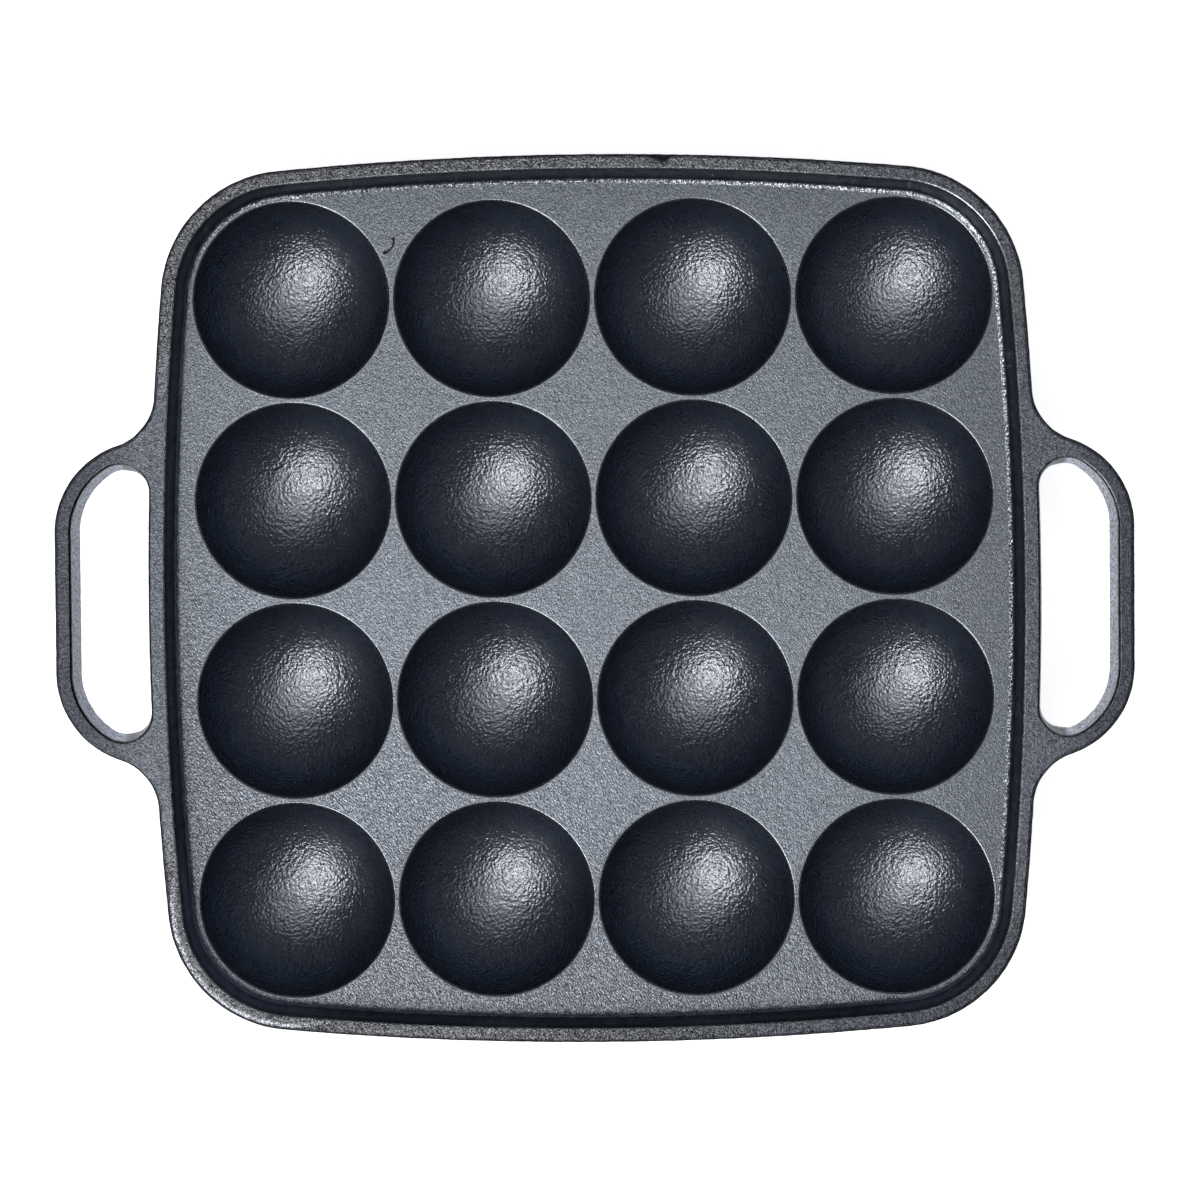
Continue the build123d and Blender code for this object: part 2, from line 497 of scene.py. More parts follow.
class Casting:
    """A mesh in millimetres that grows loop by loop along outlines."""

    def __init__(self, mesh: bmesh.types.BMesh | None = None) -> None:
        """Start empty or on a mesh, with layers for each point's station and play.

        Args:
            mesh: A mesh to go on with, or None for a new one.
        """
        self.mesh = bmesh.new() if mesh is None else mesh
        layers = self.mesh.verts.layers
        self.order = layers.int.get("order") or layers.int.new("order")
        self.play = layers.float.get("play") or layers.float.new("play")

    def ring(self, stations: Sequence[Station], inset: float, height: float) -> Loop:
        """Start a closed loop along an outline.

        Args:
            stations: The outline.
            inset: How far into the metal the loop lies.
            height: Its height.

        Returns:
            The loop's edges.
        """
        made = bmesh.ops.create_circle(self.mesh, cap_ends=False, radius=1, segments=len(stations))
        for index, (vert, station) in enumerate(zip(made["verts"], stations)):
            vert[self.order] = index
            vert.co = station.at(inset, height)
        return list({edge for vert in made["verts"] for edge in vert.link_edges})

    def grow(
        self,
        loop: Sequence[bmesh.types.BMEdge],
        stations: Sequence[Station],
        where: Callable[[Station], Spot],
        play: float = 1.0,
    ) -> Loop:
        """Extrude a loop and set its new points along their stations.

        Args:
            loop: The edges to extrude.
            stations: The outline that the loop's points belong to.
            where: Gives a station's inset and height.
            play: How far the new points may wander when the casting is roughened, 0 to 1.

        Returns:
            The new loop's edges.
        """
        made = bmesh.ops.extrude_edge_only(self.mesh, edges=list(loop))["geom"]
        verts = {item for item in made if isinstance(item, bmesh.types.BMVert)}
        for vert in verts:
            station = stations[vert[self.order]]
            vert.co = station.at(*where(station))
            vert[self.play] = play
        edges = [item for item in made if isinstance(item, bmesh.types.BMEdge)]
        return [edge for edge in edges if verts.issuperset(edge.verts)]

    def follow(
        self,
        loop: Sequence[bmesh.types.BMEdge],
        stations: Sequence[Station],
        path: Sequence[Spot],
        play: float | Sequence[float] = 1.0,
    ) -> Loop:
        """Grow a loop along each spot of a profile in turn.

        Args:
            loop: The edges to start from.
            stations: The outline that they belong to.
            path: Insets and heights.
            play: The new points' play, for all spots or spot by spot.

        Returns:
            The last loop's edges.
        """
        plays = [play] * len(path) if isinstance(play, float) else play
        for spot, own in zip(path, plays):
            loop = self.grow(loop, stations, lambda _, spot=spot: spot, own)
        return list(loop)

    def fill(self, edges: Iterable[bmesh.types.BMEdge]) -> None:
        """Close a flat face whose border and holes are these edges."""
        bmesh.ops.triangle_fill(
            self.mesh, use_beauty=True, use_dissolve=False, edges=list(edges), normal=(0, 0, 1)
        )

    def hold(self, edges: Iterable[bmesh.types.BMEdge]) -> None:
        """Keep these edges sharp, and their points in place when the casting is roughened.

        Args:
            edges: The edges.
        """
        for edge in edges:
            edge.smooth = False
            for vert in edge.verts:
                vert[self.play] = 0.0

    def settle(self, tolerance: float = 0.0004) -> None:
        """Merge doubled points and face every surface outwards."""
        bmesh.ops.remove_doubles(self.mesh, verts=self.mesh.verts[:], dist=tolerance)
        bmesh.ops.recalc_face_normals(self.mesh, faces=self.mesh.faces[:])

    def roughen(self, depth: float, size: float) -> None:
        """Wander the free points inwards, as a sand mould leaves them.

        Args:
            depth: Furthest that a point may go in.
            size: Length of the waves.
        """
        self.mesh.normal_update()
        moves = []
        for vert in self.mesh.verts:
            if vert[self.play] > 0:
                wave = noise.fractal(vert.co / size, 0.6, 2.1, 3)
                fall = depth * min(1.0, max(0.0, 0.5 + 0.55 * wave))
                moves.append((vert, -vert.normal * fall * vert[self.play]))
        for vert, move in moves:
            vert.co += move

    def cut(self, place: Vector, keep: Vector) -> None:
        """Keep what lies on one side of a plane, and close the cut flat.

        Args:
            place: A point of the plane.
            keep: Points from the plane to the side that stays.
        """
        geometry = self.mesh.verts[:] + self.mesh.edges[:] + self.mesh.faces[:]
        bmesh.ops.bisect_plane(
            self.mesh, geom=geometry, dist=1e-5, plane_co=place, plane_no=-keep, clear_outer=True
        )
        open_edges = [edge for edge in self.mesh.edges if edge.is_boundary]
        for edge in open_edges:
            edge.smooth = False
        bmesh.ops.holes_fill(self.mesh, edges=open_edges, sides=0)
        bmesh.ops.recalc_face_normals(self.mesh, faces=self.mesh.faces[:])

    def copy(self) -> "Casting":
        """Return a copy to cut."""
        return Casting(self.mesh.copy())

    def finish(self, node: str, material: bpy.types.Material) -> bpy.types.Object:
        """Make the piece that stands for a node.

        Args:
            node: The node it replaces.
            material: Its finish.

        Returns:
            The finished piece.
        """
        crowded = [face for face in self.mesh.faces if len(face.verts) > 4]
        bmesh.ops.triangulate(self.mesh, faces=crowded)
        bmesh.ops.scale(self.mesh, vec=Vector((METRES,) * 3), verts=self.mesh.verts[:])
        self._note_facing()
        self.mesh.verts.layers.int.remove(self.order)
        self.mesh.verts.layers.float.remove(self.play)
        piece = mesh_piece(node + "_casting", self.mesh, material)
        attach(piece, BODY)
        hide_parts(node)
        log.info("%s: %d points, %d faces", piece.name, len(piece.data.vertices), len(piece.data.polygons))
        return piece

    def _note_facing(self) -> None:
        """Note at each point how far it faces the pan's upright axis, from -1 to 1."""
        facing = self.mesh.verts.layers.float.new(FACING)
        self.mesh.normal_update()
        for vert in self.mesh.verts:
            home = -Vector((vert.co.x, vert.co.y, 0)).normalized()
            vert[facing] = vert.normal.dot(home)


def mesh_piece(name: str, mesh: bmesh.types.BMesh, material: bpy.types.Material) -> bpy.types.Object:
    """Make a smooth-shaded object of a mesh, and put it in the scene.

    Args:
        name: The object's name.
        mesh: Its mesh, which is used up.
        material: Its finish.

    Returns:
        The object.
    """
    for face in mesh.faces:
        face.smooth = True
    data = bpy.data.meshes.new(name)
    mesh.to_mesh(data)
    mesh.free()
    data.materials.append(material)
    piece = bpy.data.objects.new(name, data)
    bpy.context.scene.collection.objects.link(piece)
    return piece


# ---------------------------------------------------------------------------------------------
# Sub-assemblies
# ---------------------------------------------------------------------------------------------


@dataclass(frozen=True)
class Chip:
    """A chip knocked off the rim's outer edge, which leaves a sloping break.

    Attributes:
        place: The middle of its outer edge, in plan.
        inward: The way into the metal.
        start: Where it begins along the edge, which runs clockwise seen from above.
        end: Where it ends.
        depth: How far in it reaches.
        drop: How far down it goes at the edge.
    """

    place: Vector
    inward: Vector
    start: float
    end: float
    depth: float
    drop: float

    def fall(self, point: Vector, top: float) -> float:
        """Return how far the chip lowers a point under the land's height.

        Args:
            point: A point of the rim.
            top: The land's height.

        Returns:
            How far the point sinks.
        """
        away = Vector((point.x - self.place.x, point.y - self.place.y))
        deep = away.dot(self.inward)
        along = away.dot(Vector((-self.inward.y, self.inward.x)))
        if not (self.start < along < self.end and -1.0 < deep < self.depth):
            return 0.0
        share = smooth_step(self.start, 0.6 * self.end, along)
        share *= 1 - smooth_step(0.7 * self.end, self.end, along)
        roof = top - self.drop * share * (1 - max(0.0, deep) / self.depth)
        return max(0.0, 0.96 * (point.z - roof))


@dataclass
class RimAndHandles:
    """The rim wall with its land, and the two loop handles that run out of it.

    Attributes:
        sizes: The pan's sizes.
        outlines: Its outlines.
        chips: Chips in its outer edge.
        flat_margin: Width of flat that is meshed beside the outer rounding.
        lip: The same beside the short roundings.
        setback: How far the outside stays inside the body's outline at the land.
        outer_steps: Depths of the loops on the outside, under its rounding.
        inner_steps: Depths of the loops on the inner wall.
        slot_steepening: Share of its draft that a slot's wall loses beside the body.
        wander: Furthest that the sand mould's unevenness goes in.
        wander_size: Length of its waves.
        seam_calm: Distances from a handle's seam between which the unevenness comes in.
    """

    sizes: PanSizes
    outlines: Outlines
    chips: tuple[Chip, ...] = ()
    flat_margin: float = 0.35
    lip: float = 0.2
    setback: float = 0.05
    outer_steps: tuple[float, ...] = (2.2, 3.6, 5.0)
    inner_steps: tuple[float, ...] = (3.2, 1.6)
    slot_steepening: float = 0.45
    wander: float = 0.09
    wander_size: float = 1.7
    seam_calm: Spot = (0.2, 1.4)

    def build(self) -> dict[str, Casting]:
        """Cast the rim and handles in one, then part them at the seams.

        Returns:
            Each node's casting.
        """
        casting = Casting()
        body = self.outlines.body()
        outer_start, outer = self._outer_side(casting)
        slots = [self._slot_wall(casting, turn) for turn in (0, 1)]
        base = self._close_under_handles(casting, body, outer, [bottom for _, bottom in slots])
        inner_end = self._wrap_round_body(casting, body, base)
        casting.fill(outer_start + inner_end + slots[0][0] + slots[1][0])
        casting.settle()
        seam = self.sizes.handle_seam_x
        for vert in casting.mesh.verts:
            vert[casting.play] *= smooth_step(*self.seam_calm, abs(abs(vert.co.x) - seam))
        casting.roughen(self.wander, self.wander_size)
        for vert in casting.mesh.verts:
            vert.co.z -= sum(chip.fall(vert.co, self.sizes.land_top) for chip in self.chips)
        parts = {}
        for name, side in (("left_handle", -1), ("right_handle", 1)):
            parts[name] = casting.copy()
            parts[name].cut(Vector((side * seam, 0, 0)), Vector((side, 0, 0)))
        for side in (-1, 1):
            casting.cut(Vector((side * seam, 0, 0)), Vector((-side, 0, 0)))
        parts["rim_wall"] = casting
        return parts

    def _outer_side(self, casting: Casting) -> tuple[Loop, Loop]:
        """Run down the outside, and return the loops at the land and the handles' underside.

        Args:
            casting: The casting being meshed.

        Returns:
            The loops at the land's edge and at the underside.
        """
        sizes = self.sizes
        whole = self.outlines.whole()
        slope = sizes.outer_slope
        top = sizes.land_top
        low = sizes.handle_underside
        foot = sizes.handle_thickness * slope
        steps = [(depth * slope, top - depth) for depth in self.outer_steps]
        upper = eased_profile(
            Corner(sizes.land_outer_rounding + self.flat_margin, top),
            Corner(self.setback, top, sizes.land_outer_rounding),
            Corner(*steps[0]),
        )
        start = casting.ring(whole, *upper[0])
        loop = casting.follow(start, whole, upper[1:2], 0.0)
        loop = casting.follow(loop, whole, upper[2:] + steps[1:])
        cache: dict[float, list[Spot]] = {}

        def eased(station: Station) -> list[Spot]:
            """Give the eased foot of the outside at a station."""
            if station.easing not in cache:
                corner = Corner(foot, low, station.easing, SHORT_TURN)
                path = eased_profile(Corner(*steps[-1]), corner, Corner(foot + 2, low))[1:-1]
                cache[station.easing] = path if len(path) > 1 else path * len(SHORT_TURN)
            return cache[station.easing]

        for step in range(len(SHORT_TURN)):
            loop = casting.grow(loop, whole, lambda station, step=step: eased(station)[step])
        return start, loop

    def _close_under_handles(
        self, casting: Casting, body: list[Station], loop: Loop, slots: list[Loop]
    ) -> Loop:
        """Close the handles' undersides up to the body, with their slots.

        Args:
            casting: The casting to add to.
            body: The body's outline.
            loop: The outer loop at the handles' underside.
            slots: The slots' loops there.

        Returns:
            The body's loop at that height, with its points' order along the body.
        """
        sizes = self.sizes
        order = casting.order
        whole = self.outlines.whole()
        inset = sizes.handle_thickness * sizes.outer_slope
        under = [edge for edge in loop if any(whole[vert[order]].on_handle for vert in edge.verts)]
        around = [edge for edge in loop if edge not in set(under)]
        body_places = {id(station): index for index, station in enumerate(body)}
        whole_places = {id(station): index for index, station in enumerate(whole)}
        by_order = {vert[order]: vert for edge in loop for vert in edge.verts}
        for turn, sign in enumerate((1, -1)):
            side = self.outlines.sides[turn]
            first, last = self.outlines.handle_span(turn)
            vert = by_order[whole_places[id(side[first - 1])]]
            chain = []
            for station in self.outlines.behind[turn]:
                made = bmesh.ops.extrude_vert_indiv(casting.mesh, verts=[vert])
                vert = made["verts"][0]
                vert.co = station.at(inset, sizes.handle_underside)
                vert[order] = -1 - body_places[id(station)]
                chain.append(made["edges"][0])
            end = by_order[whole_places[id(side[last])]]
            chain.append(casting.mesh.edges.new((vert, end)))
            casting.hold(chain)
            border = [edge for edge in under if edge.verts[0].co.x * sign > 0]
            casting.fill(border + chain + slots[turn])
            around += chain
        for vert in {vert for edge in around for vert in edge.verts}:
            at = vert[order]
            vert[order] = -1 - at if at < 0 else body_places[id(whole[at])]
        return around

    def _slot_wall(self, casting: Casting, turn: int) -> tuple[Loop, Loop]:
        """Run down a slot's wall, which is steeper beside the body.

        Args:
            casting: The casting to add to.
            turn: 0 for the right slot, 1 for the left.

        Returns:
            The loops at the land and at the underside.
        """
        sizes = self.sizes
        ring = self.outlines.slot(turn)
        top = sizes.land_top
        low = sizes.handle_underside
        run = sizes.slot_run
        upper = eased_profile(
            Corner(sizes.slot_rounding + self.lip, top),
            Corner(0, top, sizes.slot_rounding, SHORT_TURN),
            Corner(-run / 3, top - sizes.handle_thickness / 3),
            Corner(-2 * run / 3, top - 2 * sizes.handle_thickness / 3),
            Corner(-run, low, sizes.slot_underside_rounding, SHORT_TURN),
            Corner(-run + sizes.slot_underside_rounding + self.lip, low),
        )
        side = (1, -1)[turn]

        def splayed(station: Station, spot: Spot) -> Spot:
            """Move a spot of the wall's profile out where the wall is steeper."""
            steeper = self.slot_steepening * smooth_step(0.2, 0.9, side * station.outward.x)
            return spot[0] * (1 - steeper) if spot[0] < 0 else spot[0], spot[1]

        start = casting.ring(ring, *upper[0])
        loop = start
        plays = WAKING + (1.0,) * (len(upper) - len(WAKING) - 2) + (0.0,)
        for play, spot in zip(plays, upper[1:]):
            loop = casting.grow(loop, ring, lambda station, spot=spot: splayed(station, spot), play)
        return start, loop

    def _wrap_round_body(self, casting: Casting, body: list[Station], loop: Loop) -> Loop:
        """Run down the body, under the rim, up beside the deck plate and up to the land.

        Args:
            casting: The casting to add to.
            body: The body's outline.
            loop: The body's loop at the handles' underside.

        Returns:
            The loop at the land's inner edge.
        """
        sizes = self.sizes
        top = sizes.land_top
        base = sizes.deck_underside
        foot = (top - base) * sizes.outer_slope
        under = eased_profile(
            Corner(sizes.handle_thickness * sizes.outer_slope, sizes.handle_underside),
            Corner(foot, base, sizes.rim_underside_rounding),
            Corner(foot + sizes.rim_underside_rounding + 0.3, base),
        )
        loop = casting.follow(loop, body, under[1:-1])
        loop = casting.follow(loop, body, under[-1:], 0.4)
        loop = casting.follow(loop, body, [(sizes.deck_inset, base)], 0.0)
        casting.hold(loop)
        rise = tan(sizes.wall_draft)
        land = sizes.land_width
        inner = eased_profile(
            Corner(sizes.deck_inset, sizes.deck_top),
            Corner(land + sizes.rim_height * rise, sizes.deck_top, sizes.wall_foot_fillet),
            *(Corner(land + depth * rise, top - depth) for depth in self.inner_steps),
            Corner(land, top, sizes.land_inner_rounding, SHORT_TURN),
            Corner(land - sizes.land_inner_rounding - self.lip, top),
        )
        loop = casting.follow(loop, body, inner[1:2], 0.0)
        casting.hold(loop)
        plays = (0.0, 0.0) + (1.0,) * (len(inner) - len(WAKING) - 5) + WAKING[::-1] + (0.0,)
        return casting.follow(loop, body, inner[2:], plays)


@dataclass
class DeckPlate:
    """The flat deck inside the rim, with a round mouth over each cup.

    The deck is laid out in cells, one round each well, which meet half-way between wells. A hole
    has loops at wall_shares of its depth, with wall_plays, and edges past sharp stay sharp.
    """

    sizes: PanSizes
    mouth_steps: int = 264
    flat_margin: float = 0.02
    wall_shares: tuple[float, ...] = (0.1, 0.3, 0.55, 0.8, 0.93, 0.985, 1.0)
    wall_plays: tuple[float, ...] = (0.7, 0.7, 0.7, 0.7, 0.0, 0.0, 0.0)
    sharp: float = radians(50)
    wander: float = 0.07
    wander_size: float = 1.1

    def build(self) -> Casting:
        """Cast the plate.

        Returns:
            The meshed plate.
        """
        casting = Casting()
        for _, _, middle in self.sizes.wells():
            self._cell(casting, middle)
        casting.settle()
        rims = [edge for edge in casting.mesh.edges if edge.is_boundary]
        upper = [edge for edge in rims if edge.verts[0].co.z > self.sizes.deck_top - 0.1]
        made = bmesh.ops.extrude_edge_only(casting.mesh, edges=upper)["geom"]
        for item in made:
            if isinstance(item, bmesh.types.BMVert):
                item.co.z = self.sizes.deck_underside
        casting.settle()
        for edge in casting.mesh.edges:
            if edge.calc_face_angle(0.0) > self.sharp:
                edge.smooth = False
        casting.roughen(self.wander, self.wander_size)
        return casting

    def _cell(self, casting: Casting, middle: Vector) -> None:
        """Lay out one well's cell, from its border on the deck down the hole and back below.

        Args:
            casting: The casting being meshed.
            middle: The well's middle.
        """
        sizes = self.sizes
        radius = sizes.well_radius
        ease = sizes.mouth_rounding
        reach = radius + ease
        centre = middle.to_2d()
        turns = [2 * pi * step / self.mouth_steps for step in range(self.mouth_steps)]
        mouth = [Station(centre + heading(turn) * radius, -heading(turn)) for turn in turns]
        border = self._border(centre, turns)
        top = sizes.deck_top
        over = sqrt(reach**2 - ease**2) - radius
        angles = [pi / 2 + acos(ease / reach) * share for share in SHORT_TURN]
        rounding = [(over + ease * cos(angle), top - ease + ease * sin(angle)) for angle in angles]
        first = asin(-ease / reach)
        last = asin(-sizes.deck_thickness / radius)
        dips = [first + (last - first) * share for share in self.wall_shares]
        walls = [(radius * cos(dip) - radius, top + radius * sin(dip)) for dip in dips]
        loop = casting.ring(border, 0, top)
        loop = casting.follow(loop, mouth, [(over + self.flat_margin, top)], 0.0)
        loop = casting.follow(loop, mouth, rounding + walls, WAKING + self.wall_plays)
        casting.follow(loop, border, [(0, sizes.deck_underside)], 0.0)

    def _border(self, centre: Vector, turns: Sequence[float]) -> list[Station]:
        """Find a cell's border, half-way to each neighbour or at the plate's edge.

        Args:
            centre: The well's middle, in plan.
            turns: Directions from it.

        Returns:
            A station in each direction, with one on each corner of the border.
        """
        sizes = self.sizes
        spots = [centre + heading(turn) * self._reach(centre, heading(turn)) for turn in turns]
        for way in (Vector((1, 0)), Vector((0, 1)), Vector((-1, 0)), Vector((0, -1))):
            if not self._outermost(centre.dot(way)):
                continue
            for across in (Vector((-way.y, way.x)), Vector((way.y, -way.x))):
                if self._outermost(centre.dot(across)):
                    continue
                level = centre.dot(across) + sizes.well_pitch / 2
                reach = sizes.bow_radius - sizes.deck_inset
                corner = across * level + way * (sizes.bow_centre + sqrt(reach**2 - level**2))
                way_there = (corner - centre).normalized()
                nearest = max(range(len(turns)), key=lambda at: heading(turns[at]).dot(way_there))
                spots[nearest] = corner
        return [Station(spot, (spot - centre).normalized()) for spot in spots]

    def _outermost(self, place: float) -> bool:
        """Tell whether a well's X or Y is that of the outermost wells."""
        return place > self.sizes.corner_well - 1

    def _reach(self, centre: Vector, way: Vector) -> float:
        """Find how far a cell reaches in one direction.

        Args:
            centre: The well's middle, in plan.
            way: The direction.

        Returns:
            The distance to the cell's border.
        """
        sizes = self.sizes
        outer = [self._outermost(abs(part)) for part in centre]
        signs = [1 if part > 0 else -1 for part in centre]
        leaning = [way[axis] * signs[axis] for axis in (0, 1)]
        if all(outer) and min(leaning) > sin(sizes.bow_half_angle):
            return sizes.corner_radius - sizes.deck_inset
        reaches = []
        for axis in (0, 1):
            for sign in (1, -1):
                if outer[axis] and sign == signs[axis]:
                    bow = Vector((0, 0))
                    bow[axis] = sign * sizes.bow_centre
                    away = centre - bow
                    lean = away.dot(way)
                    span = (sizes.bow_radius - sizes.deck_inset) ** 2 - away.length_squared
                    reaches.append(sqrt(lean**2 + span) - lean)
                elif way[axis] * sign > 1e-9:
                    reaches.append(sizes.well_pitch / 2 / (way[axis] * sign))
        return min(reaches)


@dataclass
class CupBlank:
    """A whole round cup about its own middle, from which each cup is cut.

    The first dips are the angles of the close loops under the shoulder, in degrees.
    """

    sizes: PanSizes
    steps: int = 240
    well_rings: int = 36
    dome_rings: int = 24
    first_dips: tuple[float, ...] = (0.0, 0.15, 0.5, 1.2)
    foot_easing: float = 5.0

    def build(self) -> Casting:
        """Turn the blank.

        Returns:
            The meshed blank.
        """
        casting = Casting()
        lathe(casting.mesh, self._profile(), self.steps)
        casting.settle()
        for edge in casting.mesh.edges:
            start, end = (vert.co for vert in edge.verts)
            level = all(abs(spot.z + self.sizes.deck_thickness) < 1e-3 for spot in (start, end))
            if level and abs(start.length - end.length) < 1e-3:
                edge.smooth = False
        return casting

    def _profile(self) -> list[Spot]:
        """Draw the half section, from the well's floor over the shoulder to the tip.

        Returns:
            Radius and height of each loop.
        """
        sizes = self.sizes
        shoulder = asin(sizes.deck_thickness / sizes.well_radius)
        dips = [shoulder + radians(step) for step in self.first_dips]
        rings = self.well_rings
        dips += [dips[-1] + (pi / 2 - dips[-1]) * step / rings for step in range(1, rings + 1)]
        well = [(sizes.well_radius * cos(dip), -sizes.well_radius * sin(dip)) for dip in dips]
        radius = sizes.cup_radius
        shoulder = asin(sizes.deck_thickness / radius)
        floor = -sizes.deck_top
        tip = acos(sizes.foot_radius / radius)
        eased = eased_profile(
            Corner(sizes.foot_radius + sin(tip), floor + cos(tip)),
            Corner(sizes.foot_radius, floor, self.foot_easing, SHORT_TURN),
            Corner(0, floor),
        )
        foot = eased[1:-1] + [(0.6 * sizes.foot_radius, floor), (0.0, floor)]
        rings = self.dome_rings
        dips = [shoulder + (tip - shoulder) * step / rings for step in range(rings)]
        dome = [(radius * cos(dip), -radius * sin(dip)) for dip in dips]
        return well[::-1] + [spot for spot in dome if spot[0] > foot[0][0] + 0.3] + foot


@dataclass
class Cup:
    """A half-round cup under the deck, which carries its well to a flat tip."""

    sizes: PanSizes
    row: int
    column: int
    middle: Vector
    valley_easing: float = 2.4
    wander: float = 0.05
    wander_size: float = 2.4

    @property
    def name(self) -> str:
        """The cup's node."""
        return f"cup_r{self.row + 1}_c{self.column + 1}"

    def build(self, blank: Casting) -> Casting:
        """Cut the cup from a blank where it meets its neighbours half-way.

        Args:
            blank: The whole round cup.

        Returns:
            The meshed cup.
        """
        casting = blank.copy()
        for way in self._neighbours():
            casting.cut(way * self.sizes.well_pitch / 2, -way)
        self._ease_valleys(casting)
        for vert in casting.mesh.verts:
            vert[casting.play] = self._play(vert.co)
        bmesh.ops.translate(casting.mesh, vec=self.middle, verts=casting.mesh.verts[:])
        casting.roughen(self.wander, self.wander_size)
        return casting

    def _neighbours(self) -> list[Vector]:
        """List the ways in which the next cup lies.

        Returns:
            The ways to the cup's neighbours.
        """
        last = self.sizes.wells_per_side - 1
        ways = (
            (self.column > 0, Vector((-1, 0, 0))),
            (self.column < last, Vector((1, 0, 0))),
            (self.row > 0, Vector((0, 1, 0))),
            (self.row < last, Vector((0, -1, 0))),
        )
        return [way for there, way in ways if there]

    def _ease_valleys(self, casting: Casting) -> None:
        """Fill the valleys between this cup and the next with a fillet.

        Args:
            casting: The cut cup.
        """
        radius = self.sizes.cup_radius
        ways = self._neighbours()
        middles = [Vector((0, 0, 0))] + [way * self.sizes.well_pitch for way in ways]
        ease = self.valley_easing
        for vert in casting.mesh.verts:
            if vert.co.length < radius - 1 or vert.co.z < -self.sizes.deck_top + 1:
                continue
            near = max((vert.co.dot(way) for way in ways), default=0.0)
            if near < self.sizes.well_pitch / 2 - 3 * ease:
                continue
            level = abs(vert.co.z + self.sizes.deck_thickness) < 1e-3
            for _ in range(4):
                aways = [vert.co - middle for middle in middles]
                reaches = [max(ease - (away.length - radius), 0.0) for away in aways]
                total = sum(reach**2 for reach in reaches)
                if total == 0:
                    break
                pull = Vector((0, 0, 0))
                for away, reach in zip(aways, reaches):
                    pull += away.normalized() * reach
                pull = pull / sqrt(total)
                if level:
                    pull.z = 0
                vert.co -= pull * (ease - sqrt(total)) / max(pull.length_squared, 0.2)

    def _play(self, point: Vector) -> float:
        """Let the cup's surfaces wander, away from its seams and its flat tip.

        Args:
            point: A point of the cup.

        Returns:
            How far the unevenness moves it.
        """
        sizes = self.sizes
        if point.z < -sizes.deck_top + 0.02:
            return 0.0
        play = smooth_step(sizes.deck_thickness + 0.3, sizes.deck_thickness + 2.5, -point.z)
        if point.length > sizes.well_radius + 1:
            for way in self._neighbours():
                play *= 1 - smooth_step(-2.0, -0.2, point.dot(way) - sizes.well_pitch / 2)
        return play


# ---------------------------------------------------------------------------------------------
# Shader work
# ---------------------------------------------------------------------------------------------


class Bench:
    """A material's node tree, where finishes are written as Python expressions."""

    def __init__(self, tree: bpy.types.NodeTree) -> None:
        """Start on an empty tree."""
        self.tree = tree
        tree.nodes.clear()

    def node(self, kind: str, settings: dict | None = None, inputs: dict | None = None) -> bpy.types.Node:
        """Add a node.

        Args:
            kind: The node's type.
            settings: Its own settings.
            inputs: Values or links of its sockets, by name or number.

        Returns:
            The node.
        """
        made = self.tree.nodes.new(kind)
        for key, value in (settings or {}).items():
            setattr(made, key, value)
        for key, value in (inputs or {}).items():
            source = value.socket if isinstance(value, Value) else value
            if isinstance(source, bpy.types.NodeSocket):
                self.tree.links.new(source, made.inputs[key])
            else:
                made.inputs[key].default_value = source
        return made

    def read(
        self, kind: str, output: str | int, settings: dict | None = None, inputs: dict | None = None
    ) -> "Value":
        """Add a node and return one of its outputs."""
        return Value(self, self.node(kind, settings, inputs).outputs[output])

    def math(self, operation: str, *terms: "Value | float") -> "Value":
        """Add a Math node on up to two terms."""
        return self.read("ShaderNodeMath", 0, {"operation": operation}, dict(enumerate(terms)))

    def mix(self, share: "Value", low: object, high: object, blend: str = "MIX") -> "Value":
        """Mix two colours."""
        settings = {"data_type": "RGBA", "blend_type": blend}
        return self.read("ShaderNodeMix", 2, settings, {"Factor": share, 6: low, 7: high})


